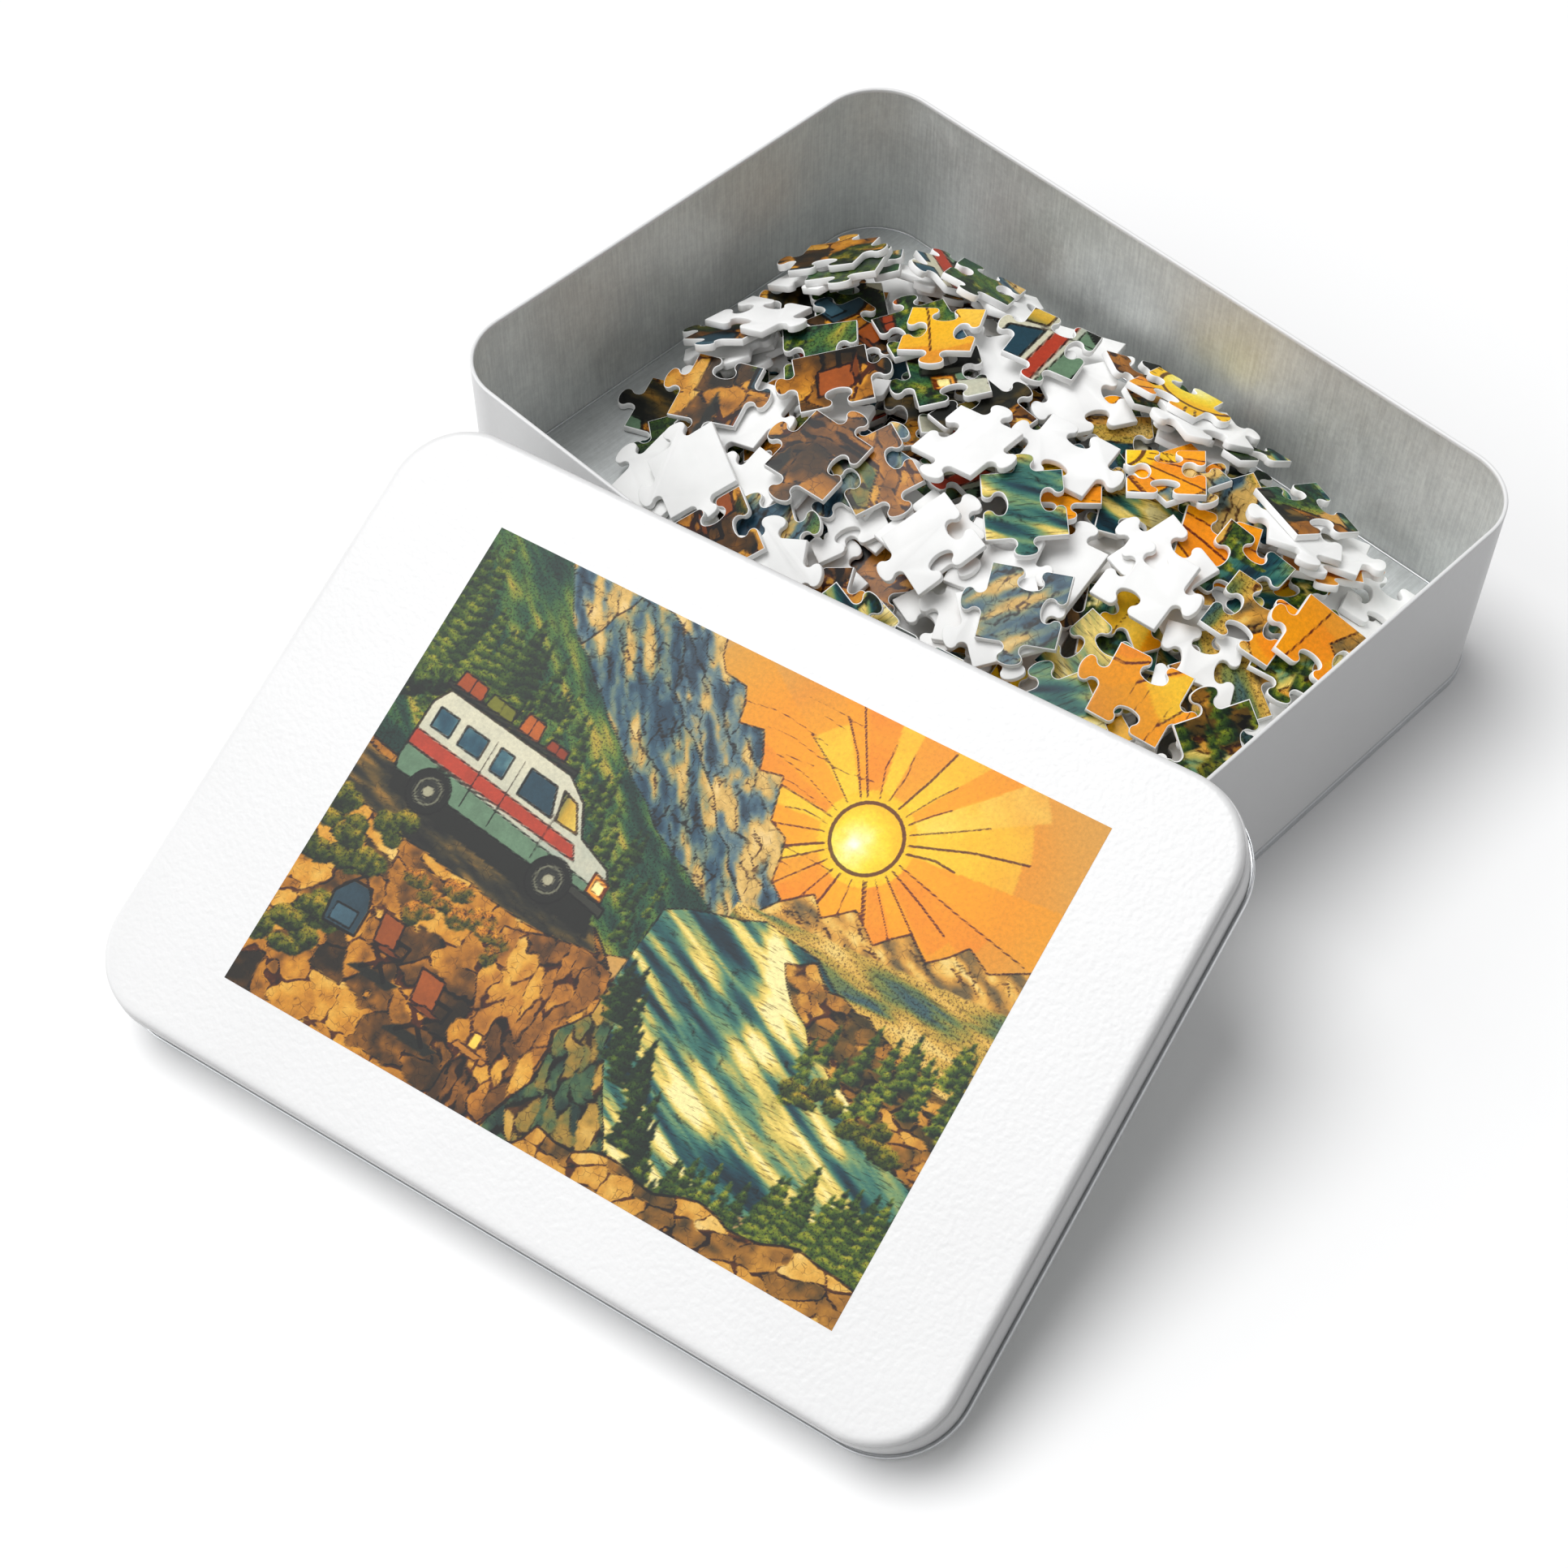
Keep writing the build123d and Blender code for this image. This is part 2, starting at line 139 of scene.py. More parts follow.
def turned(x, y, angle):
    """Coordinates along and across a direction given in degrees."""
    c, s = math.cos(math.radians(angle)), math.sin(math.radians(angle))
    return x * c + y * s, -x * s + y * c


def window(x0, y0, x1, y1):
    """The part of the grid in a box."""
    i0, i1 = max(0, int(x0 / GRAIN)), min(PX.shape[1], int(x1 / GRAIN) + 2)
    j0, j1 = max(0, int(y0 / GRAIN)), min(PX.shape[0], int(y1 / GRAIN) + 2)
    return (slice(j0, max(j0, j1)), slice(i0, max(i0, i1)))


def outline_box(points, reach=0):
    xs, ys = zip(*points)
    return window(min(xs) - reach, min(ys) - reach, max(xs) + reach, max(ys) + reach)


def inside(points, x, y):
    within = np.zeros(x.shape, bool)
    for (ax, ay), (bx, by) in zip(points, points[1:] + points[:1]):
        if ay != by:
            within ^= ((ay > y) != (by > y)) & (x < ax + (y - ay) * (bx - ax) / (by - ay))
    return within


def paint(area, mask, colour, kind=SKY):
    """Lays a wash over part of the grid and hides the ink under it."""
    wash[area][mask] = colour[mask] if np.ndim(colour) == 3 else colour
    ink[area][mask] = INK_REACH
    matter[area][mask] = kind


def draw(points, width=0.3, closed=False):
    """Inks a line through the points."""
    ends = points[1:] + points[:1] if closed else points[1:]
    for (ax, ay), (bx, by) in zip(points, ends):
        area = outline_box([(ax, ay), (bx, by)], INK_REACH + width)
        x, y = PX[area], PY[area]
        dx, dy = bx - ax, by - ay
        along = np.clip(((x - ax) * dx + (y - ay) * dy) / max(dx * dx + dy * dy, 1e-9), 0, 1)
        gap = np.hypot(x - ax - along * dx, y - ay - along * dy) - width / 2
        ink[area] = np.minimum(ink[area], gap)


def shape(points, colour, kind=SKY, width=0.3):
    """A filled shape with an inked outline."""
    area = outline_box(points)
    mask = inside(points, PX[area], PY[area])
    if callable(colour):
        colour = colour(PX[area], PY[area])
    elif isinstance(colour, str):
        colour = rgb(colour) * (0.92 + 0.16 * blotch(PX[area], PY[area], 3, 5))[..., None]
    paint(area, mask, np.broadcast_to(colour, PX[area].shape + (3,)), kind)
    if width:
        draw(points, width, closed=True)


def rough(points, amount, seed, step=3.0):
    """The same outline with a jagged edge, for rock and banks."""
    pick = random.Random(seed)
    made = []
    for (ax, ay), (bx, by) in zip(points, points[1:] + points[:1]):
        count = max(1, int(math.dist((ax, ay), (bx, by)) / step))
        for i in range(count):
            part = i / count
            stray = amount if i else amount / 3
            x = ax + (bx - ax) * part + pick.uniform(-stray, stray)
            made.append((x, ay + (by - ay) * part + pick.uniform(-stray, stray)))
    return made


def facets(points, size, stretch, angle, tones, seed, width=0.28, outline=0.35):
    """Broken rock: flat faces in several tones with inked cracks between them."""
    area = outline_box(points)
    x, y = PX[area], PY[area]
    mask = inside(points, x, y)
    bend = 1.4 * (blotch(x, y, 5, seed + 1) - 0.5) * size
    u, v = turned(x + bend, y + bend * 0.6, angle)
    u, v = u / (size * stretch), v / size
    first = np.full(x.shape, 9.0)
    second = first.copy()
    tone = np.zeros(x.shape)
    lean = np.zeros(x.shape)
    table = np.random.RandomState(seed).rand(4, CELL_TABLE, CELL_TABLE)
    for du in (-1, 0, 1):
        for dv in (-1, 0, 1):
            i, j = np.floor(u).astype(int) + du, np.floor(v).astype(int) + dv
            a, b, c, d = (layer[i % CELL_TABLE, j % CELL_TABLE] for layer in table)
            gap = np.hypot(u - i - a, v - j - b)
            nearer = gap < first
            second = np.where(nearer, first, np.minimum(second, gap))
            tone, lean = np.where(nearer, c, tone), np.where(nearer, (u - i - a) * (d - 0.5), lean)
            first = np.where(nearer, gap, first)
    shade = 0.75 * tone + 0.5 * lean + 0.5 * (blotch(x, y, 2.5, seed + 2) - 0.4)
    paint(area, mask, ramp(shade, *tones), ROCK)
    crack = (second - first) * size * 0.62 - width / 2 + 0.5 * (blotch(x, y, 4, seed + 3) - 0.45)
    ink[area] = np.where(mask, np.minimum(ink[area], crack), ink[area])
    draw(points, outline, closed=True)


def pine(x0, y0, height, seed, lit=0.5, spread=0.30):
    """A conifer with drooping tiers, dark, with light caught on its left."""
    half = height * spread
    area = window(x0 - half - 1, y0 - 1, x0 + half + 1, y0 + height + 1)
    x, y = PX[area] - x0, PY[area] - y0
    down = np.clip(1 - y / height, 0, 1)
    tier = (down * height / 2.6 + 0.12 * np.abs(x) + 0.3 * blotch(x, y, 2.5, seed)) % 1
    reach = half * down**0.85 * (0.45 + 0.55 * tier) * (0.75 + 0.5 * blotch(x, y, 1.1, seed + 3, 2))
    mask = (np.abs(x) < reach + 0.12) & (y > 0) & (y < height)
    light = 0.55 * (1 - tier) + 0.55 * blotch(x, y, 0.9, seed + 5, 2) - 0.5 * x / (half + 0.1)
    tones = ramp(light * lit + 0.05, "#11251D", "#1F3C2A", "#4D6A2B", "#9BA436", "#C9BE4A")
    paint(area, mask, tones, LEAF)
    rim = np.abs(np.abs(x) - reach) - 0.05
    seen = mask & (y > 0.4)
    ink[area] = np.where(seen, np.minimum(ink[area], rim + 0.25 * tier), ink[area])


def bush(x0, y0, wide, high, seed, tones=("#22351F", "#4B5E22", "#8C8A24", "#CDAE38")):
    """A round clump of leaves, light on top."""
    area = window(x0 - wide * 1.3, y0 - high * 1.3, x0 + wide * 1.3, y0 + high * 1.3)
    x, y = (PX[area] - x0) / wide, (PY[area] - y0) / high
    edge = 0.72 + 0.5 * blotch(PX[area], PY[area], 1.6, seed)
    mask = np.hypot(x, y) < edge
    leaves = blotch(PX[area], PY[area], 1.1, seed + 1)
    tone = 0.45 + 0.42 * y + 1.1 * (leaves - 0.5) - 0.12 * x
    paint(area, mask, ramp(tone, *tones), LEAF)
    rim = np.abs(np.hypot(x, y) - edge) * min(wide, high) - 0.1
    fold = np.abs(leaves - 0.42) * 5 - 0.12
    ink[area] = np.where(mask, np.minimum(ink[area], np.minimum(rim, fold)), ink[area])


def streaks(points, angle, tones, seed, size=2.2, stretch=9, kind=WATER, width=0.3, glint=None):
    """Water or grass: long strokes in one direction."""
    area = outline_box(points)
    x, y = PX[area], PY[area]
    mask = inside(points, x, y)
    u, v = turned(x, y + 1.2 * blotch(x, y, 14, seed + 4), angle)
    flow = blotch(u / stretch, v, size, seed, 4)
    shade = (flow - 0.5) * 1.9 + 0.45
    if glint is not None:
        shade = shade + glint(x, y)
    paint(area, mask, ramp(shade, *tones), kind)
    cut = np.abs(blotch(u / stretch, v, size * 0.6, seed + 7, 2) - 0.5) * 3.2 - 0.12
    ink[area] = np.where(mask & (shade < 0.75), np.minimum(ink[area], cut + 0.14), ink[area])
    if width:
        draw(points, width, closed=True)


def hatch(points, angle, count, seed, longest=9.0, width=0.2):
    """Pen strokes over rock: short jagged lines down the slope, some of them branching."""
    pick = random.Random(seed)
    area = outline_box(points)
    mask = inside(points, PX[area], PY[area])
    rows, columns = np.nonzero(mask)
    for _ in range(count):
        lot = pick.randrange(len(rows))
        x, y = PX[area][rows[lot], columns[lot]], PY[area][rows[lot], columns[lot]]
        turn = math.radians(angle + pick.gauss(0, 14))
        reach = longest * pick.uniform(0.25, 1.0)
        line = [(x, y)]
        for _ in range(5):
            stray = turn + pick.gauss(0, 0.45)
            x, y = x + math.cos(stray) * reach / 5, y + math.sin(stray) * reach / 5
            if not inside(points, np.array([x]), np.array([y]))[0]:
                break
            line.append((x, y))
        draw(line, width * pick.uniform(0.6, 1.6))
        if len(line) > 3 and pick.random() < 0.4:
            side = turn + pick.choice((-1.1, 1.1))
            twig = (line[2][0] + math.cos(side) * reach / 4, line[2][1] + math.sin(side) * reach / 4)
            draw([line[2], twig], width)


def paint_sky():
    x, y = PX - SUN[0], PY - SUN[1]
    far = np.hypot(x, y)
    bearing = np.degrees(np.arctan2(y, x))
    picks = random.Random(4)
    glow = ramp(far / 70 + 0.10 * (blotch(PX, PY, 9, 40) - 0.5), "#FFF07A", "#FFCF14", "#FAB517", "#EDA838",
                "#E5AE52", "#DDB065", "#CBAA76")
    paint((slice(None), slice(None)), np.ones(PX.shape, bool), glow)
    start = -60.0
    while start < 300:
        wide = picks.uniform(9, 19)
        turn = (bearing - start) % 360
        wedge = (turn < wide) & (far > 11) & (far < picks.uniform(26, 60))
        tint = picks.choice(("#FFB000", "#F79B1E", "#FFDE4A", "#F4A93A", "#FFE680"))
        strength = 0.75 * np.clip(1.25 - far / 60, 0, 1)[..., None]
        strength = strength * (0.6 + 0.6 * blotch(PX, PY, 4, 41))[..., None]
        wash[:] = np.where(wedge[..., None], wash * (1 - strength) + rgb(tint) * strength, wash)
        spoke = math.radians(start)
        ends = picks.uniform(18, 50)
        bend = picks.uniform(-1, 1)
        middle = ((11 + ends) / 2, bend)
        places = ((9.5, 0), middle, (ends, 0))
        draw([(SUN[0] + r * math.cos(spoke) - b * math.sin(spoke),
               SUN[1] + r * math.sin(spoke) + b * math.cos(spoke))
              for r, b in places], picks.uniform(0.2, 0.5))
        start += wide
    turns = np.linspace(0, 2 * math.pi, 40)[:-1]
    ring = [(SUN[0] + SUN_REACH * math.cos(a), SUN[1] + SUN_REACH * math.sin(a)) for a in turns]
    shape(ring, lambda x, y: ramp(np.hypot(x - SUN[0] + 1.5, y - SUN[1] + 2.5) / 10
                                  + 0.35 * (blotch(x, y, 2.5, 8) - 0.4),
                                  "#FFFFF2", "#FFF59A", "#FFE23E", "#FFCE1C"), width=0.75)
    for i in range(13):
        level = 116 - i * 3.1 + picks.uniform(-1, 1)
        left = picks.uniform(62, 92)
        draw([(left + k * 7, level + picks.uniform(-0.8, 0.8) - 0.10 * k * k * 0.5)
              for k in range(picks.randint(2, 5))], 0.16)


def paint_mountains():
    rock = ("#3C5667", "#5F7E8E", "#8FA09A", "#D9B873", "#ECCB82", "#F1D59A")
    near = [(18, 121), (62, 121), (66, 113), (72, 112), (75, 104), (81, 105), (85, 97), (90, 98), (93, 88),
            (98, 86), (100, 76), (106, 70), (104, 62), (60, 60), (18, 86)]
    near = rough(near, 0.9, 3, 4)
    streaks(near, -52, rock, 21, 2.6, 2.6, ROCK, 0.35)
    hatch(near, -52, 210, 41, 10)
    spur = [(40, 121), (52, 118), (58, 104), (68, 96), (78, 88), (90, 74), (100, 66), (84, 58), (50, 70),
            (30, 96)]
    spur = rough(spur, 0.9, 5, 4)
    streaks(spur, -56, ("#33566A", "#56798A", "#93A08A", "#DDB96E", "#EBD193"), 23, 2.2, 3.4, ROCK, 0.35)
    hatch(spur, -56, 170, 43, 9)
    hills = [(98, 66), (104, 73), (110, 78), (114, 74), (120, 79), (127, 74), (133, 80), (139, 76), (146, 83),
             (152, 80), (161, 85), (161, 60), (98, 60)]
    hills = rough(hills, 0.5, 6, 4)
    streaks(hills, -24, ("#84724F", "#BC944E", "#E4B156", "#F2CC74", "#F6DC96"), 27, 2.0, 3.0, ROCK, 0.35)
    hatch(hills, -32, 90, 45, 6)
    streaks([(96, 69), (161, 74), (161, 50), (96, 52)], -6,
            ("#55767A", "#8E9A5C", "#C9AE55", "#EBC469", "#F4D88A"), 31, 2.4, 6, LEAF, 0)


def paint_slope():
    slope = [(-1, 121), (20, 121), (28, 108), (44, 95), (60, 82), (76, 72), (92, 64), (100, 62), (92, 50),
             (70, 44), (-1, 60)]
    streaks(rough(slope, 0.6, 8, 5), -38, ("#1F4A42", "#356650", "#5F864C", "#94A047", "#C9B552"), 33, 2.8, 4,
            LEAF, 0.25)
    picks = random.Random(12)
    for i in range(80):
        along = i / 79
        x = 22 + 68 * along + picks.uniform(-4, 4)
        y = 97 - 43 * along + picks.uniform(-16, 1)
        pine(x, y, picks.uniform(6, 11) * (1.15 - 0.5 * along), 300 + i, picks.uniform(0.4, 0.9), 0.23)


def paint_river():
    water = ("#163E4B", "#215765", "#33706F", "#5B9182", "#93AE80", "#D8C873", "#FBE38A", "#FFF3B8")

    def glint(x, y):
        path = 108 + 7 * np.sin((66 - y) / 11) + (62 - y) * 0.12
        return 0.62 * np.exp(-(((x - path) / (3.5 + (68 - y) * 0.10)) ** 2)) * np.clip((y - 12) / 40, 0.25, 1)

    river = [(82, 60), (92, 64), (104, 68), (118, 66), (130, 59), (146, 52), (161, 46), (161, 8), (136, 12),
             (112, 4), (92, 8), (84, 20), (80, 40)]
    streaks(rough(river, 0.5, 9, 5), -24, water, 35, 2.6, 9, WATER, 0.3, glint)
    bank = [(112, 62), (118, 65), (124, 61), (134, 60), (146, 55), (161, 52), (161, 32), (150, 36), (140, 42),
            (128, 48), (118, 55)]
    facets(rough(bank, 0.8, 10, 3), 2.8, 1.9, -18, ("#3C3A22", "#7D6128", "#C08A35", "#E2AE4C", "#EFC56A"),
           37, 0.3)
    picks = random.Random(15)
    for i in range(34):
        x = picks.uniform(126, 162)
        y = 41 + (x - 126) * 0.30 + picks.uniform(-8, 7)
        pine(x, y, picks.uniform(7, 11), 400 + i, picks.uniform(0.7, 1.0), 0.27)
    for i in range(9):
        bush(picks.uniform(122, 160), picks.uniform(33, 42), picks.uniform(2.5, 4.5), picks.uniform(1.6, 2.6),
             450 + i)


def paint_ledge():
    stone = ("#33291A", "#74511F", "#BD842A", "#DFA53C", "#EDBF5E", "#F5D68C")
    scree = [(70, 46), (84, 38), (88, 24), (98, 8), (104, -1), (60, -1)]
    facets(rough(scree, 0.9, 14, 4), 2.8, 3.0, -64, ("#2E4A44", "#5B7A5A", "#A98F45", "#D7AF58", "#EAC97C"),
           41, 0.28)
    cliff = [(-1, 64), (16, 60), (34, 56), (54, 52), (70, 49), (78, 43), (80, 34), (74, 26), (76, 14),
             (70, -1), (-1, -1)]
    facets(rough(cliff, 0.8, 16, 4), 6.4, 1.5, -30, stone, 43, 0.42, outline=0.5)
    face = [(52, 40), (70, 45), (79, 42), (80, 33), (74, 25), (76, 13), (69, -1), (56, -1), (58, 16),
            (52, 28)]
    facets(rough(face, 0.7, 18, 4), 3.6, 2.6, -76, ("#5A3F20", "#9A6A2C", "#CC9038", "#E9B64F", "#F4D182"),
           45, 0.36)
    track = [(-1, 62), (18, 57), (44, 52), (70, 49), (74, 44), (52, 43), (26, 46), (-1, 50)]
    streaks(rough(track, 0.6, 19, 4), -12, ("#1F211F", "#3A3A30", "#6A5B36", "#A98540"), 47, 1.6, 5, ROCK,
            0.25)
    picks = random.Random(21)
    for i in range(16):
        bush(picks.uniform(-2, 20), picks.uniform(34, 52), picks.uniform(2.5, 5), picks.uniform(2, 3.4),
             500 + i)
    for i in range(11):
        bush(picks.uniform(26, 56), picks.uniform(31, 42), picks.uniform(2, 4.2), picks.uniform(1.6, 3),
             530 + i, ("#3A4A1F", "#8A7A22", "#D58F2A", "#F2B93E"))
    for i in range(8):
        bush(picks.uniform(-2, 16), picks.uniform(8, 26), picks.uniform(3, 5.5), picks.uniform(2, 4), 560 + i)


def wheel(x, y, radius):
    ring = np.linspace(0, 2 * math.pi, 29)[:-1]
    for share, tone, line in ((1, "#20231F", 0.4), (0.66, "#8B8B78", 0.3), (0.5, "#3B3D38", 0.25),
                              (0.26, "#B7B39A", 0.25)):
        shape([(x + radius * share * math.cos(a), y + radius * share * math.sin(a)) for a in ring], tone,
              width=line)


def paint_van():
    """A plain boxy camper in side view, with a striped flank and luggage on its roof."""
    def place(points):
        return [(VAN_X + x, VAN_Y + y - VAN_DIP * x) for x, y in points]

    shade = [(2, -3), (62, -4), (60, 2), (0, 3)]
    shape(place(shade), "#22251F", ROCK, 0)
    body = [(0, 4), (0.4, 19), (3, 23.5), (39, 23.5), (45, 20), (49, 13.4), (58, 11), (60, 8), (60, 2.2),
            (1, 1.6)]
    shape(place(body), lambda x, y: ramp(0.5 + 0.02 * (y - 64) + 0.5 * (blotch(x, y, 5, 60) - 0.5),
                                         "#9FB0A8", "#D5D3C0", "#F0EAD0"), width=0.55)
    shape(place([(0, 4), (0.1, 8), (60, 6), (60, 2.2), (1, 1.6)]), "#7E9A80", width=0.35)
    shape(place([(0.1, 8), (0.2, 12), (48, 11.2), (50, 8.2)]), "#C4553A", width=0.35)
    for left, right, low, high in ((3, 8.5, 14, 19), (11, 17.5, 14, 19), (21, 25, 13.6, 19.4)):
        shape(place([(left, low), (left, high), (right, high), (right, low)]),
              lambda x, y: ramp(blotch(x, y, 3, 61) + 0.1, "#274A5C", "#3F6C7C", "#7FA3A4"), width=0.45)
    shape(place([(30, 13), (30, 19.6), (37.6, 19.6), (40, 13)]), "#355C6B", width=0.5)
    shape(place([(41.4, 13.2), (39.6, 19.8), (43.8, 19), (47.4, 13.4)]),
          lambda x, y: ramp((x - 46) / 9, "#37616F", "#D9B64C", "#F3D873"), width=0.5)
    for x in (19.4, 27.6, 40.6):
        draw(place([(x, 3), (x + 0.2, 20)]), 0.28)
    shape(place([(1, 24), (1, 25.2), (40, 25), (40, 23.8)]), "#3A3D38", width=0.35)
    for left, right, high, tone in ((3, 11, 29, "#B8622A"), (12, 20, 28.4, "#8A8A34"),
                                    (22, 28, 29.6, "#C9772F"), (30, 36, 27.6, "#A5502A")):
        shape(place([(left, 25), (left + 0.6, high), (right - 0.4, high - 0.3), (right, 25)]), tone,
              width=0.4)
        draw(place([((left + right) / 2, 25), ((left + right) / 2, high)]), 0.25)
    shape(place([(56, 4.4), (56, 9.2), (60.2, 8.4), (60.4, 4)]), "#F2A93A", width=0.45)
    shape(place([(57, 5.4), (57, 8), (59.6, 7.6), (59.6, 5.2)]), "#FFF3B0", width=0.2)
    shape(place([(47, 2.4), (47, 4.2), (62, 3.6), (62, 1.4)]), "#4A4B42", width=0.45)
    for x in (11, 47):
        wheel(VAN_X + x, VAN_Y + 1.6 - VAN_DIP * x, 5.4)


def chair(x, y, size, tone):
    """A folding chair with crossed legs."""
    def place(points):
        return [(x + size * a, y + size * b) for a, b in points]

    shape(place([(-3, -1), (8, -2), (10, 0), (0, 1)]), "#2C2F28", ROCK, 0)
    for start, end in (((0, 0), (6, 5)), ((6.5, -0.6), (0.6, 5.4)), ((0.6, 5), (0, 12))):
        draw(place([start, end]), 0.9 * size)
    shape(place([(-0.4, 6), (-1.6, 12.6), (4.2, 12), (5, 5.6)]), tone, width=0.5)
    shape(place([(-0.4, 5.2), (5, 4.6), (7.6, 5.2), (3, 6.4)]), "#8A4E1E", width=0.4)
    draw(place([(4.6, 8.2), (8, 8)]), 0.8 * size)
    draw(place([(8, 8), (7.6, 5)]), 0.6 * size)


def paint_camp():
    chair(27, 17, 1.05, "#A5602A")
    chair(42, 9, 1.15, "#B4692C")
    shape([(13, 22), (12, 29), (15, 33), (20, 33), (22, 28), (22, 22)], "#3F5A66", width=0.5)
    shape([(14, 23), (14, 27), (20, 27), (20, 23)], "#587885", width=0.35)
    draw([(13, 31), (17, 35), (21, 31)], 0.5)
    shape([(55, 12), (64, 11), (65, 12.4), (56, 13.6)], "#C98F3C", width=0.35)
    for x in (57, 62.5):
        draw([(x, 12), (x + 0.6, 6)], 0.5)
    shape([(58.6, 13.4), (58.8, 17), (61, 17), (61, 13.2)], "#FFD86A", width=0.4)


def paint_front():
    picks = random.Random(31)
    for i in range(15):
        x = 84 + i * 1.5 + picks.uniform(-1.5, 1.5)
        pine(x, 38 - i * 2.4 + picks.uniform(-3, 2), picks.uniform(11, 15), 600 + i, picks.uniform(0.25, 0.6),
             0.26)
    for i in range(30):
        x = 108 + i * 1.9 + picks.uniform(-1.5, 1.5)
        y = -4 + (x - 108) * 0.24 + picks.uniform(-5, 4)
        pine(x, y, picks.uniform(12, 17) + (x - 108) * 0.16, 650 + i, picks.uniform(0.6, 1.0), 0.27)
    for i in range(12):
        pine(96 + i * 3 + picks.uniform(-1, 1), picks.uniform(-3, 3), picks.uniform(6, 9), 700 + i, 0.45,
             0.28)
    stones = [(78, -1), (82, 6), (92, 5), (100, 8), (112, 6), (122, 9), (134, 7), (146, 11), (161, 9),
              (161, -1)]
    facets(rough(stones, 0.8, 33, 4), 5.2, 1.6, 12, ("#55472A", "#A97C34", "#DDA94A", "#EEC56C", "#F5DA99"),
           47, 0.42, outline=0.5)
    for i in range(13):
        pine(-2 + i * 2.6 + picks.uniform(-1.2, 1.2), 80 - i * 0.8 + picks.uniform(-6, 4),
             picks.uniform(34, 46) - i * 1.5, 750 + i, picks.uniform(0.45, 0.9), 0.20)
    for i in range(12):
        bush(picks.uniform(-1, 30), picks.uniform(66, 84), picks.uniform(3, 6), picks.uniform(2.5, 4.5),
             780 + i, ("#13261E", "#27442A", "#5F7A2C", "#A7A93A"))


paint_sky()
paint_mountains()
paint_slope()
paint_river()
paint_ledge()
paint_front()
paint_van()
paint_camp()


# ------------------------------------------------------------------ materials
def linear(code):
    """An sRGB hex colour as linear red, green, blue and 1."""
    parts = [int(code[i : i + 2], 16) / 255 for i in (1, 3, 5)]
    return [c / 12.92 if c <= 0.04045 else ((c + 0.055) / 1.055) ** 2.4 for c in parts] + [1]


def add_node(material, kind, inputs=(), stops=(), **settings):
    """Adds a node with its settings. Each input is a number, a colour or another node's output."""
    tree = material.node_tree
    made = tree.nodes.new("ShaderNode" + kind)
    for name, value in settings.items():
        setattr(made, name, value)
    for socket, value in dict(inputs).items():
        if isinstance(value, bpy.types.NodeSocket):
            tree.links.new(value, made.inputs[socket])
        else:
            made.inputs[socket].default_value = value
    for number, (place, colour) in enumerate(stops):
        points = made.color_ramp.elements
        point = points[number] if number < 2 else points.new(place)
        point.position, point.color = place, colour
    return made


def new_material(name):
    material = bpy.data.materials.new(name)
    material.use_nodes = True
    material.node_tree.nodes.clear()
    return material


def finish_material(material, shader):
    add_node(material, "OutputMaterial", {"Surface": shader.outputs[0]})
    return material


def white_enamel():
    """Stoved white enamel on tinplate. The lacquer dries with a fine orange peel, which shows
    as tiny bumps where light grazes it, under a satin gloss."""
    m = new_material("stoved_white_enamel")
    place = add_node(m, "TexCoord").outputs["Object"]
    peel = add_node(m, "TexNoise", {"Vector": place, "Scale": 1 / (1.3 * MM), "Detail": 1.5,
                                    "Roughness": 0.4})
    slow = add_node(m, "TexNoise", {"Vector": place, "Scale": 1 / (38 * MM), "Detail": 2.0})
    tone = add_node(m, "ValToRGB", {"Fac": slow.outputs["Fac"]},
                    [(0.3, linear("#E3E3E3")), (0.7, linear("#E7E7E7"))])
    gloss = add_node(m, "MapRange", {"Value": slow.outputs["Fac"], "To Min": 0.30, "To Max": 0.38})
    bump = add_node(m, "Bump", {"Height": peel.outputs["Fac"], "Strength": 0.6, "Distance": 0.14 * MM})
    return finish_material(m, add_node(m, "BsdfPrincipled", {
        "Base Color": tone.outputs["Color"], "Roughness": gloss.outputs["Result"], "IOR": 1.5,
        "Normal": bump.outputs["Normal"]}))


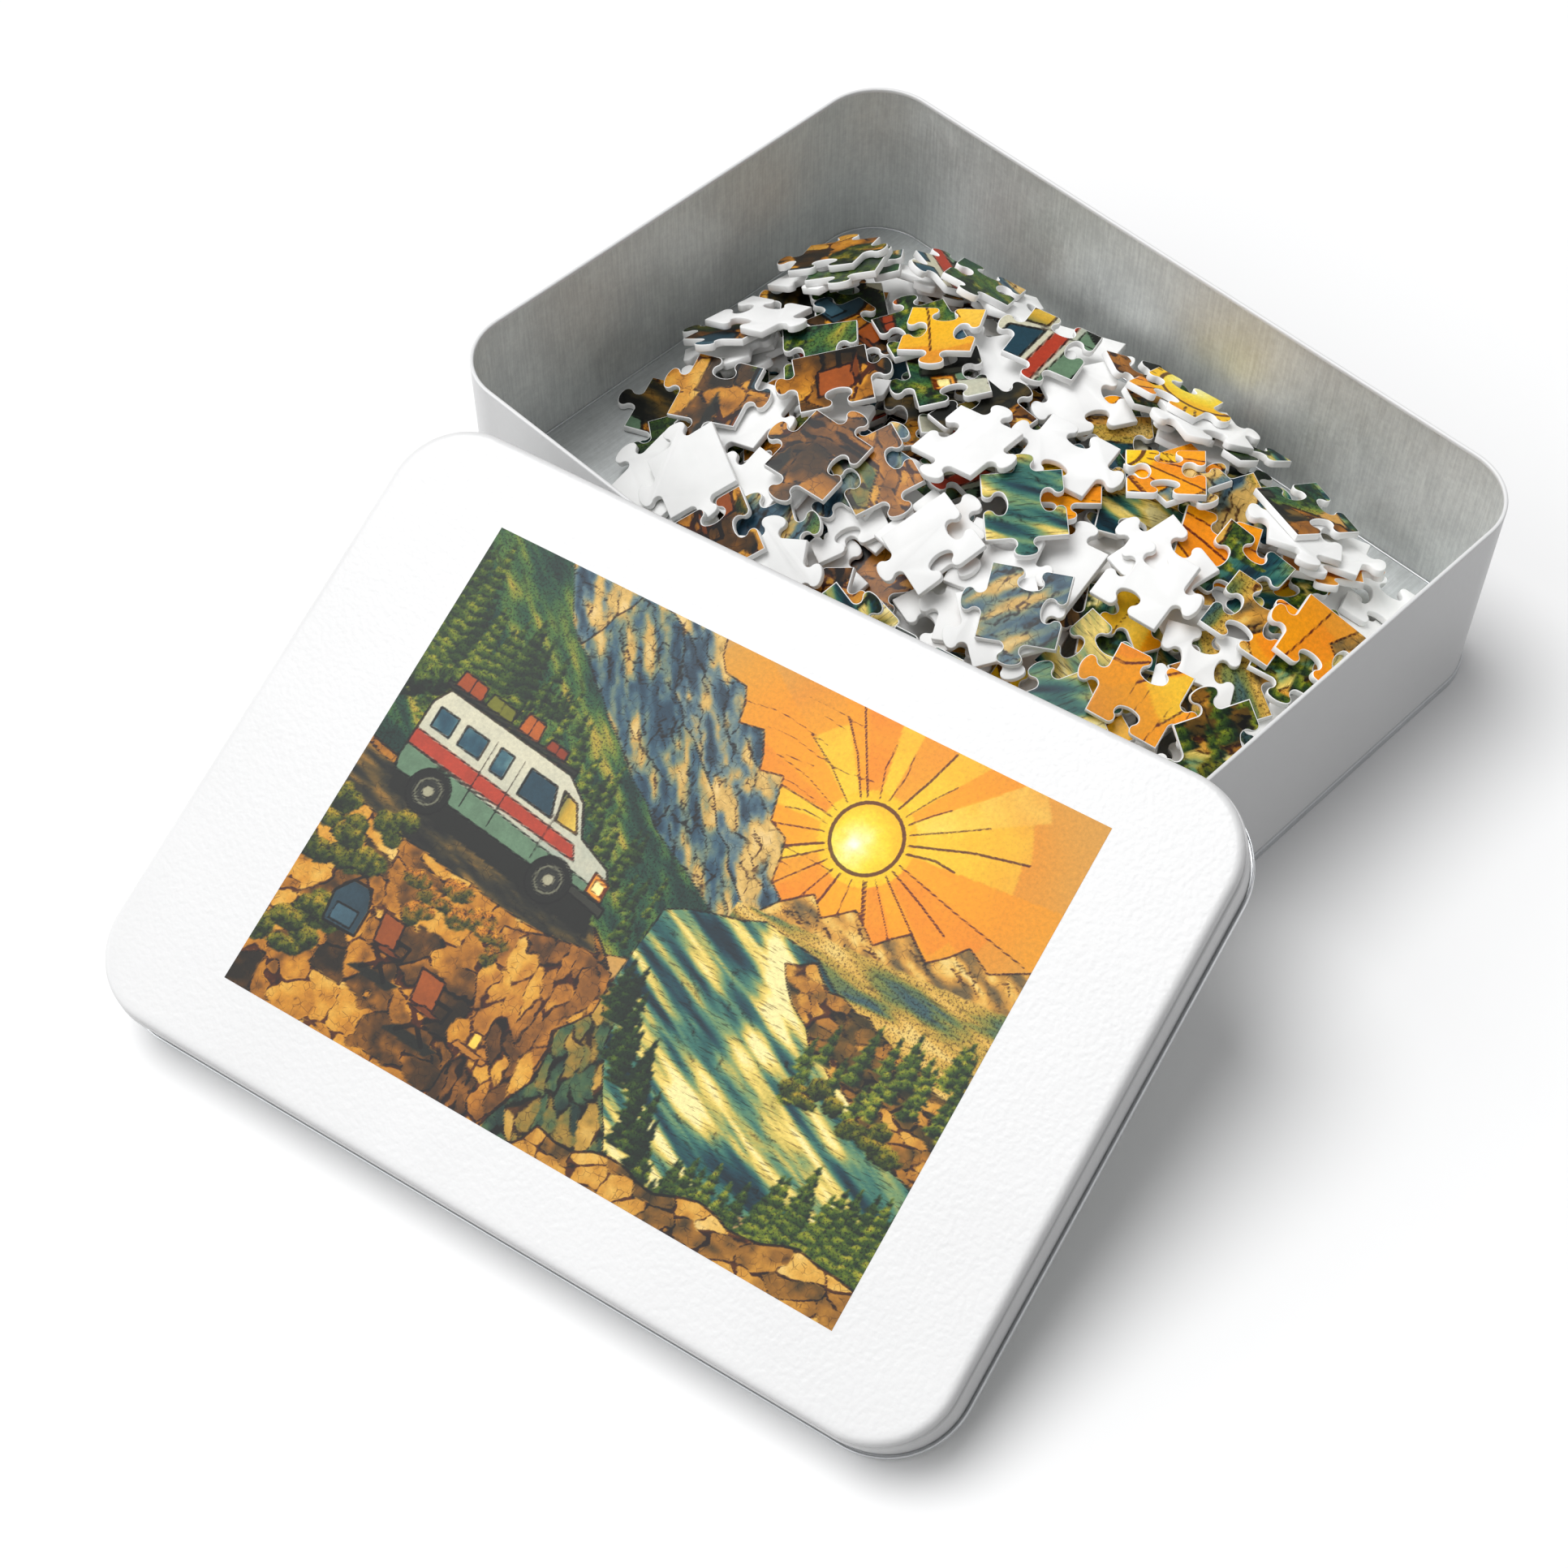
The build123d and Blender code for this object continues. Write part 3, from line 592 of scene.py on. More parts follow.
def bare_tinplate(name, grain_along_z, dark, light, dull, relief=0.10):
    """Bright tinplate off the roll: a fine grain in the rolling direction, cloudy patches where
    the tin froze unevenly, and soft streaky reflections."""
    m = new_material(name)
    place = add_node(m, "TexCoord").outputs["Object"]
    stretch = (1.0, 1.0, 0.06) if grain_along_z else (1.0, 0.06, 1.0)
    along = add_node(m, "Mapping", {"Vector": place, "Scale": stretch})
    grain = add_node(m, "TexNoise", {"Vector": along.outputs["Vector"], "Scale": 1 / (0.7 * MM),
                                     "Detail": 4.0, "Roughness": 0.65})
    cloud = add_node(m, "TexNoise", {"Vector": place, "Scale": 1 / (17 * MM), "Detail": 4.0, "Roughness": 0.6,
                                     "Distortion": 0.6})
    fleck = add_node(m, "TexNoise", {"Vector": place, "Scale": 1 / (1.6 * MM), "Detail": 3.0,
                                     "Roughness": 0.7})
    mixed = add_node(m, "Math", {0: grain.outputs["Fac"], 1: 0.55}, operation="MULTIPLY")
    mixed = add_node(m, "Math", {0: cloud.outputs["Fac"], 1: 0.40, 2: mixed.outputs[0]},
                     operation="MULTIPLY_ADD")
    mixed = add_node(m, "Math", {0: fleck.outputs["Fac"], 1: 0.35, 2: mixed.outputs[0]},
                     operation="MULTIPLY_ADD")
    tone = add_node(m, "ValToRGB", {"Fac": mixed.outputs[0]}, [(0.53, linear(dark)), (0.77, linear(light))])
    rough = add_node(m, "MapRange", {"Value": mixed.outputs[0], "From Min": 0.5, "From Max": 0.8,
                                     "To Min": dull - 0.05, "To Max": dull + 0.05})
    bump = add_node(m, "Bump", {"Height": mixed.outputs[0], "Strength": relief, "Distance": 0.05 * MM})
    return finish_material(m, add_node(m, "BsdfPrincipled", {
        "Base Color": tone.outputs["Color"], "Metallic": 1.0, "Roughness": rough.outputs["Result"],
        "Normal": bump.outputs["Normal"]}))


def puzzle_board():
    """White-lined die-cut puzzle board: an uncoated paper face with a faint felt, near white."""
    m = new_material("white_lined_puzzle_board")
    place = add_node(m, "TexCoord").outputs["Object"]
    felt = add_node(m, "TexNoise", {"Vector": place, "Scale": 1 / (0.5 * MM), "Detail": 3.0,
                                    "Roughness": 0.6})
    slow = add_node(m, "TexNoise", {"Vector": place, "Scale": 1 / (9 * MM), "Detail": 2.0})
    tone = add_node(m, "ValToRGB", {"Fac": slow.outputs["Fac"]},
                    [(0.3, linear("#F3F3F2")), (0.7, linear("#F9F9F8"))])
    bump = add_node(m, "Bump", {"Height": felt.outputs["Fac"], "Strength": 0.25, "Distance": 0.05 * MM})
    return finish_material(m, add_node(m, "BsdfPrincipled", {
        "Base Color": tone.outputs["Color"], "Roughness": 0.62, "Specular IOR Level": 0.35,
        "Normal": bump.outputs["Normal"]}))


def colour_print(name, gloss, depth):
    """Offset print of an ink and watercolour picture under a thin varnish. The washes, the pen
    lines and what is drawn come from attributes, and fine pen work is added between them."""
    m = new_material(name)
    wash = add_node(m, "Attribute", attribute_name="wash").outputs["Color"]
    wash = add_node(m, "Gamma", {"Color": wash, "Gamma": depth}).outputs["Color"]
    line = add_node(m, "Attribute", attribute_name="ink").outputs["Fac"]
    kinds = add_node(m, "Attribute", attribute_name="matter").outputs["Color"]
    kinds = add_node(m, "SeparateColor", {"Color": kinds})
    spot = add_node(m, "Attribute", attribute_name="spot").outputs["Vector"]

    wobble = add_node(m, "TexNoise", {"Vector": spot, "Scale": 1.3, "Detail": 2.0})
    edge = add_node(m, "Math", {0: wobble.outputs["Fac"], 1: 0.30, 2: line}, operation="MULTIPLY_ADD")
    pen = add_node(m, "MapRange", {"Value": edge.outputs[0], "From Min": 0.10, "From Max": 0.34,
                                   "To Min": 1.0, "To Max": 0.0}, interpolation_type="SMOOTHSTEP")

    # Rock: short cracks. Leaves: dark flecks. Water: broken strokes along the current.
    cell = add_node(m, "TexVoronoi", {"Vector": spot, "Scale": 0.55, "Randomness": 1.0},
                    feature="DISTANCE_TO_EDGE")
    crack = add_node(m, "MapRange", {"Value": cell.outputs["Distance"], "From Min": 0.0, "From Max": 0.055,
                                     "To Min": 0.75, "To Max": 0.0})
    gaps = add_node(m, "TexNoise", {"Vector": spot, "Scale": 0.45, "Detail": 1.0})
    gaps = add_node(m, "MapRange", {"Value": gaps.outputs["Fac"], "From Min": 0.45, "From Max": 0.6})
    crack = add_node(m, "Math", {0: crack.outputs[0], 1: gaps.outputs[0]}, operation="MULTIPLY")
    crack = add_node(m, "Math", {0: crack.outputs[0], 1: kinds.outputs["Red"]}, operation="MULTIPLY")
    leaf = add_node(m, "TexNoise", {"Vector": spot, "Scale": 1.7, "Detail": 3.0, "Roughness": 0.7})
    leaf = add_node(m, "MapRange", {"Value": leaf.outputs["Fac"], "From Min": 0.50, "From Max": 0.40,
                                    "To Min": 0.0, "To Max": 0.8})
    leaf = add_node(m, "Math", {0: leaf.outputs[0], 1: kinds.outputs["Green"]}, operation="MULTIPLY")
    current = add_node(m, "Mapping", {"Vector": spot, "Rotation": (0, 0, math.radians(24)),
                                      "Scale": (0.22, 1.9, 1)})
    flow = add_node(m, "TexNoise", {"Vector": current.outputs["Vector"], "Scale": 1.0, "Detail": 3.0,
                                    "Roughness": 0.65})
    flow = add_node(m, "MapRange", {"Value": flow.outputs["Fac"], "From Min": 0.45, "From Max": 0.36,
                                    "To Min": 0.0, "To Max": 0.7})
    flow = add_node(m, "Math", {0: flow.outputs[0], 1: kinds.outputs["Blue"]}, operation="MULTIPLY")
    drawn = crack
    for strokes in (leaf, flow, pen):
        drawn = add_node(m, "Math", {0: drawn.outputs[0], 1: strokes.outputs[0]}, operation="MAXIMUM")

    granule = add_node(m, "TexNoise", {"Vector": spot, "Scale": 1.1, "Detail": 5.0, "Roughness": 0.75})
    granule = add_node(m, "MapRange", {"Value": granule.outputs["Fac"], "From Min": 0.3, "From Max": 0.7,
                                       "To Min": 0.78, "To Max": 1.10})
    colour = add_node(m, "VectorMath", {0: wash, "Scale": granule.outputs[0]}, operation="SCALE")
    dark = add_node(m, "Gamma", {"Color": colour.outputs[0], "Gamma": 1.7})
    dark = add_node(m, "VectorMath", {0: dark.outputs[0], 1: (0.16, 0.12, 0.13)}, operation="MULTIPLY")
    inked = add_node(m, "Mix", {"Factor": drawn.outputs[0], "A": colour.outputs[0], "B": dark.outputs[0]},
                     data_type="VECTOR")
    bump = add_node(m, "Bump", {"Height": drawn.outputs[0], "Strength": 0.10, "Distance": 0.02 * MM})
    return finish_material(m, add_node(m, "BsdfPrincipled", {
        "Base Color": inked.outputs[1], "Roughness": gloss, "Specular IOR Level": 0.28,
        "Normal": bump.outputs["Normal"]}))


ENAMEL = white_enamel()
TINPLATE = bare_tinplate("rolled_tinplate_wall", True, "#D9DBDA", "#EDEFED", 0.70)
PAN_PLATE = bare_tinplate("rolled_tinplate_floor", False, "#C6C9C9", "#DADDDD", 0.58)
EDGE_PLATE = bare_tinplate("burnished_tinplate_edge", False, "#CFD1D3", "#D9DBDD", 0.34, 0.01)
BOARD = puzzle_board()
LID_INK = colour_print("varnished_lid_print", 0.42, 1.32)
PIECE_INK = colour_print("varnished_puzzle_print", 0.36, 1.30)


# ------------------------------------------------------------------ sheet metal
def rounded_sheet(name, grow, z):
    """A flat sheet of the tin's outline, larger by grow all round, in edit mode and selected."""
    bpy.ops.object.select_all(action="DESELECT")
    bpy.ops.mesh.primitive_plane_add(size=1, location=(0, 0, 0))
    piece = bpy.context.object
    piece.name = name
    bpy.ops.object.mode_set(mode="EDIT")
    bpy.ops.transform.resize(value=((TIN_LENGTH + 2 * grow) * MM, (TIN_WIDTH + 2 * grow) * MM, 1))
    bpy.ops.transform.translate(value=(0, 0, z * MM))
    bpy.ops.mesh.bevel(offset=(TIN_CORNER + grow) * MM, segments=CORNER_STEPS, affect="VERTICES")
    bpy.ops.mesh.select_all(action="SELECT")
    return piece


def raise_by(height):
    """Draws the selected face up, with walls below it."""
    bpy.ops.mesh.extrude_region_move(TRANSFORM_OT_translate={"value": (0, 0, height * MM)})


def step_in(inwards, upwards=0.0):
    """Draws the selected face inwards and up."""
    bpy.ops.mesh.inset(thickness=inwards * MM, depth=upwards * MM, use_even_offset=True)


def round_over(radius, steps=6):
    """Rounds from an upright wall over to a level face."""
    turns = [math.pi / 2 * step / steps for step in range(steps + 1)]
    for old, new in zip(turns, turns[1:]):
        step_in(radius * (math.cos(old) - math.cos(new)), radius * (math.sin(new) - math.sin(old)))


def close_piece(piece, materials, body, nodes, wall=0.0, inner=0, place=None, smooth=38):
    """Gives a wall its thickness, then materials, smoothing, place and body, and hides the nodes it stands
    for.
    """
    bpy.ops.object.mode_set(mode="OBJECT")
    if wall:
        solid = piece.modifiers.new("thickness", "SOLIDIFY")
        solid.thickness = wall * MM
        solid.offset = -1
        solid.use_even_offset = True
        solid.material_offset = inner
        solid.material_offset_rim = inner
    for material in materials:
        piece.data.materials.append(material)
    if wall:
        bpy.ops.object.modifier_apply(modifier="thickness")
    bpy.ops.object.shade_smooth_by_angle(angle=math.radians(smooth))
    if place is not None:
        piece.matrix_world = place
        bpy.ops.object.transform_apply(location=True, rotation=True, scale=True)
    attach(piece, body)
    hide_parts(*nodes)
    return piece


def rolled_ring(name, grow, wide, z, high, edge):
    """A flattened roll of sheet that follows the outline, with rounded edges."""
    piece = rounded_sheet(name, grow, z)
    step_in(wide)
    bpy.ops.mesh.delete(type="ONLY_FACE")
    bpy.ops.mesh.select_all(action="SELECT")
    raise_by(high)
    bpy.ops.mesh.select_all(action="SELECT")
    bpy.ops.mesh.normals_make_consistent(inside=False)
    bpy.ops.mesh.select_mode(type="EDGE")
    bpy.ops.mesh.select_all(action="DESELECT")
    bpy.ops.mesh.edges_select_sharp(sharpness=math.radians(60))
    bpy.ops.mesh.bevel(offset=edge * MM, segments=5, affect="EDGES", clamp_overlap=True)
    bpy.ops.mesh.select_mode(type="FACE")
    return piece


def open_underneath(piece):
    """Takes away the level face under a drawn sheet."""
    bpy.ops.object.mode_set(mode="OBJECT")
    lowest = min(v.co.z for v in piece.data.vertices)
    for face in piece.data.polygons:
        face.select = abs(face.center.z - lowest) < 1e-6 and face.normal.z < -0.9
    bpy.ops.object.mode_set(mode="EDIT")
    bpy.ops.mesh.delete(type="FACE")
    bpy.ops.mesh.select_all(action="SELECT")


def lid_place():
    """Where the lid lies, read from the thin print on its top face."""
    corners = np.array([tuple(v.co) for v in frame["nodes"]["lid_print"].data.vertices])
    corners = np.unique(np.round(corners, 6), axis=0)
    middle = corners.mean(axis=0)
    directions = np.linalg.svd(corners - middle)[2]
    along, upward = Vector(directions[0]), Vector(directions[2])
    along = along if along.x > 0 else -along
    upward = upward if upward.z > 0 else -upward
    across = upward.cross(along)
    rise = (LID_HEIGHT + PRINT_FILM / 2) * MM
    foot = Vector(middle) - along * PRINT_SHIFT[0] * MM - across * PRINT_SHIFT[1] * MM - upward * rise
    turn = Matrix((along, across, upward)).transposed().to_4x4()
    return Matrix.Translation(foot) @ turn


def make_tin():
    rounded_sheet("tin_wall_sheet", 0, SHEET_FOOT)
    bpy.ops.mesh.delete(type="ONLY_FACE")
    bpy.ops.mesh.select_all(action="SELECT")
    raise_by(TIN_HEIGHT - WALL_TOP_DROP - SHEET_FOOT)
    bpy.ops.mesh.select_all(action="SELECT")
    bpy.ops.mesh.normals_make_consistent(inside=False)
    close_piece(bpy.context.object, [ENAMEL, TINPLATE], "tin", ["tin_wall"], SHEET, 1)

    rim = rolled_ring("tin_rim_roll", RIM_PROUD, RIM_WIDTH + RIM_PROUD, TIN_HEIGHT - RIM_HEIGHT, RIM_HEIGHT,
                      RIM_ROUND)
    close_piece(rim, [ENAMEL], "tin", ["tin_wall"])

    pan = rounded_sheet("tin_base_pan", -PAN_GAP, SHEET_FOOT)
    raise_by(PAN_FLOOR - PAN_BEND - SHEET_FOOT)
    round_over(PAN_BEND)
    step_in(1)
    open_underneath(pan)
    close_piece(pan, [PAN_PLATE], "tin", ["tin_base"], SHEET)

    bead = rolled_ring("tin_floor_bead", -SHEET, BEAD_WIDTH, PAN_FLOOR - BEAD_SUNK, BEAD_HEIGHT + BEAD_SUNK,
                       BEAD_ROUND)
    close_piece(bead, [EDGE_PLATE], "tin", ["tin_base"])

    seam = rolled_ring("tin_base_seam", SEAM_OUT, SEAM_OUT + SEAM_IN, 0, SEAM_HEIGHT, SEAM_ROUND)
    close_piece(seam, [EDGE_PLATE], "tin", ["tin_base"])


def make_lid(place):
    lid = rounded_sheet("lid_drawn_sheet", LID_GROWTH, CURL_HEIGHT / 2)
    step_height = LID_HEIGHT - LID_STEP_DEPTH
    raise_by(step_height - LID_STEP_ROUND - CURL_HEIGHT / 2)
    round_over(LID_STEP_ROUND, 4)
    step_in(LID_STEP_IN - LID_STEP_ROUND)
    raise_by(LID_STEP_DEPTH - LID_SHOULDER)
    round_over(LID_SHOULDER, 8)
    step_in(1)
    open_underneath(lid)
    close_piece(lid, [ENAMEL, TINPLATE], "lid", ["lid_shell"], SHEET, 1, place)

    curl = rolled_ring("lid_curled_edge", LID_GROWTH + CURL_OUT, CURL_OUT - CREVICE, 0, CURL_HEIGHT,
                       CURL_ROUND)
    close_piece(curl, [EDGE_PLATE], "lid", ["lid_shell"], place=place)

    # The roll starts under the skirt and leaves a crevice beside it, which stays dark.
    start = rolled_ring("lid_curl_start", LID_GROWTH + START_REACH, START_REACH + START_SHEET, START_LEVEL,
                        START_HEIGHT, START_ROUND)
    close_piece(start, [EDGE_PLATE], "lid", ["lid_shell"], place=place)


# ------------------------------------------------------------------ the printed picture
def sampled(layer, x, y):
    """A picture layer between its grid points, at places in picture millimetres."""
    u, v = np.clip(x / GRAIN, 0, layer.shape[1] - 1.001), np.clip(y / GRAIN, 0, layer.shape[0] - 1.001)
    i, j = u.astype(int), v.astype(int)
    s, t = (u - i), (v - j)
    if layer.ndim == 3:
        s, t = s[:, None], t[:, None]
    low = layer[j, i] * (1 - s) + layer[j, i + 1] * s
    high = layer[j + 1, i] * (1 - s) + layer[j + 1, i + 1] * s
    return low * (1 - t) + high * t


def print_on(mesh, x, y):
    """Gives each point of a mesh the picture's wash, ink, matter and spot at x and y."""
    colours = sampled(wash, x, y)
    light = np.where(colours <= 0.04045, colours / 12.92, ((colours + 0.055) / 1.055) ** 2.4)
    full = np.ones(len(x))
    for name, kind, values in (
        ("wash", "FLOAT_COLOR", np.column_stack((light, full))),
        ("ink", "FLOAT", sampled(ink, x, y)),
        ("matter", "FLOAT_COLOR", np.column_stack((sampled(matter, x, y), full))),
        ("spot", "FLOAT_VECTOR", np.column_stack((x, y, 0 * x))),
    ):
        layer = mesh.attributes.new(name, kind, "POINT")
        key = {"FLOAT": "value", "FLOAT_COLOR": "color", "FLOAT_VECTOR": "vector"}[kind]
        layer.data.foreach_set(key, np.ascontiguousarray(values, dtype=np.float32).ravel())


def make_lid_print(place):
    """A sheet of ink on the lid, finely divided so that its colours can be laid on it."""
    bpy.ops.object.select_all(action="DESELECT")
    bpy.ops.mesh.primitive_grid_add(x_subdivisions=FILM_GRID[0], y_subdivisions=FILM_GRID[1], size=1,
                                    location=(0, 0, 0))
    film = bpy.context.object
    film.name = "lid_picture_film"
    bpy.ops.object.mode_set(mode="EDIT")
    bpy.ops.transform.resize(value=(PRINT_LENGTH * MM, PRINT_WIDTH * MM, 1))
    bpy.ops.mesh.select_mode(type="EDGE")
    bpy.ops.mesh.select_all(action="DESELECT")
    bpy.ops.mesh.select_non_manifold()
    bpy.ops.mesh.extrude_edges_move(TRANSFORM_OT_translate={"value": (0, 0, -PRINT_FILM * MM)})
    bpy.ops.mesh.edge_face_add()
    bpy.ops.mesh.select_all(action="SELECT")
    shift = (PRINT_SHIFT[0] * MM, PRINT_SHIFT[1] * MM, (LID_HEIGHT + PRINT_FILM) * MM)
    bpy.ops.transform.translate(value=shift)
    bpy.ops.object.mode_set(mode="OBJECT")
    places = np.array([tuple(v.co) for v in film.data.vertices]) / MM - (PRINT_SHIFT[0], PRINT_SHIFT[1], 0)
    print_on(film.data, (places[:, 0] / PRINT_LENGTH + 0.5) * PICTURE_LENGTH,
             (places[:, 1] / PRINT_WIDTH + 0.5) * PICTURE_HEIGHT)
    close_piece(film, [LID_INK], "lid", ["lid_print"], place=place)


# ------------------------------------------------------------------ puzzle pieces
PUZZLE_COLUMNS, PUZZLE_ROWS = 16, 12
PIECE_EDGE = 0.24  # mm, the roll that the die leaves along both faces
PUZZLE_SHARE = 0.75  # the lid shows the picture at this share of the puzzle's size
PRINT_CELL, HIDDEN_CELL = 0.7, 2.5  # mm between the printed face's points, seen and underneath
WIDE_FACE = 100  # square mm: only a piece's two broad faces are larger
SHOWN = 0.52  # share of the pieces that lie picture up
MERGE_REACH, FLAT_TURN, SHARP_TURN = 0.002, 2, 80  # mm, degrees, degrees


def broad_faces(mesh):
    """The two printed or bare faces of each piece, without its narrow sides."""
    return [face for face in mesh.faces if face.calc_area() > WIDE_FACE * MM * MM]


def side_direction(face, normal):
    """A direction along the piece's straight sides, from its longest edges."""
    first = face.edges[0]
    base = (first.verts[1].co - first.verts[0].co).normalized()
    other = normal.cross(base)
    total = 0j
    for edge in face.edges:
        run = edge.verts[1].co - edge.verts[0].co
        turn = math.atan2(run.dot(other), run.dot(base))
        total += run.length**3 * complex(math.cos(4 * turn), math.sin(4 * turn))
    turn = math.atan2(total.imag, total.real) / 4
    return base * math.cos(turn) + other * math.sin(turn)


def divide(mesh, cell, printed, directions):
    """Cuts the printed face of one piece into a grid, so that the picture can be laid on it."""
    made = {printed}
    for direction in directions:
        reaches = [v.co.dot(direction) for face in made for v in face.verts]
        level, top = min(reaches) + cell / 2, max(reaches)
        ahead, behind = made, set()
        while level < top:
            geometry = set(ahead)
            for face in ahead:
                geometry.update(face.verts)
                geometry.update(face.edges)
            cut = bmesh.ops.bisect_plane(mesh, geom=list(geometry), dist=1e-7, plane_co=direction * level,
                                         plane_no=direction)
            faces = {part for part in cut["geom"] if isinstance(part, bmesh.types.BMFace)}
            ahead = {face for face in faces if face.calc_center_bounds().dot(direction) > level}
            behind |= faces - ahead
            level += cell
        made = ahead | behind
    return made


def print_piece(part, shown, quarters, share_x, share_y):
    """Lays its part of the picture on one face of a piece: the upper one, or the one underneath."""
    mesh = bmesh.new()
    mesh.from_mesh(part.data)
    wide = sorted(broad_faces(mesh), key=lambda face: face.normal.z)
    printed = wide[-1] if shown else wide[0]
    normal = printed.normal.copy()
    along = Matrix.Rotation(math.pi / 2 * quarters, 3, normal) @ side_direction(printed, normal)
    across = normal.cross(along)
    middle = printed.calc_center_bounds()
    printed.material_index = 1
    cell = PRINT_CELL if shown else HIDDEN_CELL
    spots = {}
    for face in divide(mesh, cell * MM, printed, (along, across)):
        face.material_index = 1
        for v in face.verts:
            away = v.co - middle
            spots[v] = (share_x * PICTURE_LENGTH + away.dot(along) / MM * PUZZLE_SHARE,
                        share_y * PICTURE_HEIGHT + away.dot(across) / MM * PUZZLE_SHARE)
    mesh.verts.index_update()
    x, y = np.zeros(len(mesh.verts)), np.zeros(len(mesh.verts))
    for v, (spot_x, spot_y) in spots.items():
        x[v.index], y[v.index] = spot_x, spot_y
    mesh.to_mesh(part.data)
    mesh.free()
    print_on(part.data, x, y)


def make_pieces(node, number):
    """Finishes one node's puzzle pieces: rolled edges, and the picture on one face of each."""
    bpy.ops.object.select_all(action="DESELECT")
    source = frame["nodes"][node]
    pieces = source.copy()
    pieces.data = source.data.copy()
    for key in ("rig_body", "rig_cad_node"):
        if key in pieces:
            del pieces[key]
    pieces.parent = None
    bpy.context.scene.collection.objects.link(pieces)
    pieces.data.materials.clear()
    pieces.data.materials.append(BOARD)
    pieces.data.materials.append(PIECE_INK)
    pieces.select_set(True)
    bpy.context.view_layer.objects.active = pieces
    bpy.ops.object.mode_set(mode="EDIT")
    bpy.ops.mesh.select_all(action="SELECT")
    bpy.ops.mesh.remove_doubles(threshold=MERGE_REACH * MM)
    bpy.ops.mesh.dissolve_limited(angle_limit=math.radians(FLAT_TURN))
    bpy.ops.mesh.select_mode(type="EDGE")
    bpy.ops.mesh.select_all(action="DESELECT")
    # Left out, this first selection costs the border pieces some of their rolled edges.
    bpy.ops.mesh.edges_select_sharp(sharpness=math.radians(SHARP_TURN))
    bpy.ops.object.mode_set(mode="OBJECT")
    mesh = bmesh.new()
    mesh.from_mesh(pieces.data)
    rims = {edge for face in broad_faces(mesh) for edge in face.edges}
    for edge in mesh.edges:
        edge.select = edge in rims
    mesh.to_mesh(pieces.data)
    mesh.free()
    bpy.ops.object.mode_set(mode="EDIT")
    bpy.ops.mesh.bevel(offset=PIECE_EDGE * MM, segments=2, affect="EDGES", clamp_overlap=False)
    bpy.ops.object.mode_set(mode="OBJECT")

    bpy.ops.object.mode_set(mode="EDIT")
    bpy.ops.mesh.select_all(action="SELECT")
    bpy.ops.mesh.separate(type="LOOSE")
    bpy.ops.object.mode_set(mode="OBJECT")
    parts = sorted(bpy.context.selected_objects, key=lambda part: tuple(part.data.vertices[0].co))
    draw_lot = random.Random(number)
    for column, part in enumerate(parts):
        share_x = ((column + 0.5) % PUZZLE_COLUMNS) / PUZZLE_COLUMNS
        share_y = ((number - 0.5) % PUZZLE_ROWS) / PUZZLE_ROWS
        if node.startswith("loose"):
            share_x, share_y = draw_lot.uniform(0.08, 0.92), draw_lot.uniform(0.08, 0.92)
        print_piece(part, draw_lot.random() < SHOWN, draw_lot.randrange(4), share_x, share_y)
    bpy.context.view_layer.objects.active = parts[0]
    if len(parts) > 1:
        bpy.ops.object.join()
    pieces = bpy.context.object
    pieces.name = node + "_cut"
    body = node if node.startswith("loose") else "tin"
    close_piece(pieces, [], body, [node], smooth=42)


# ------------------------------------------------------------------ floor, light and camera
FLOOR_SIZE, BACKDROP_REACH = 8, 6.0  # metres
PAPER_TONES = (0.965, 0.975)
AMBIENT_TONE, AMBIENT_STRENGTH = (0.985, 0.99, 1.0, 1), 0.355
# Each lamp's name, power, spread in degrees, and the direction that it shines in.
LAMPS = (("key", 1.98, 36, (0.37, 0.10, -1.0)), ("fill", 1.2, 70, (0.45, 0.80, -0.35)))
CAMERA_PLACE, CAMERA_TURN, CAMERA_RISE = (0.29408, -0.35758, 0.53315), 45.303, 53.510  # metres, degrees
LENS, SENSOR = 61.576, 36.0  # mm


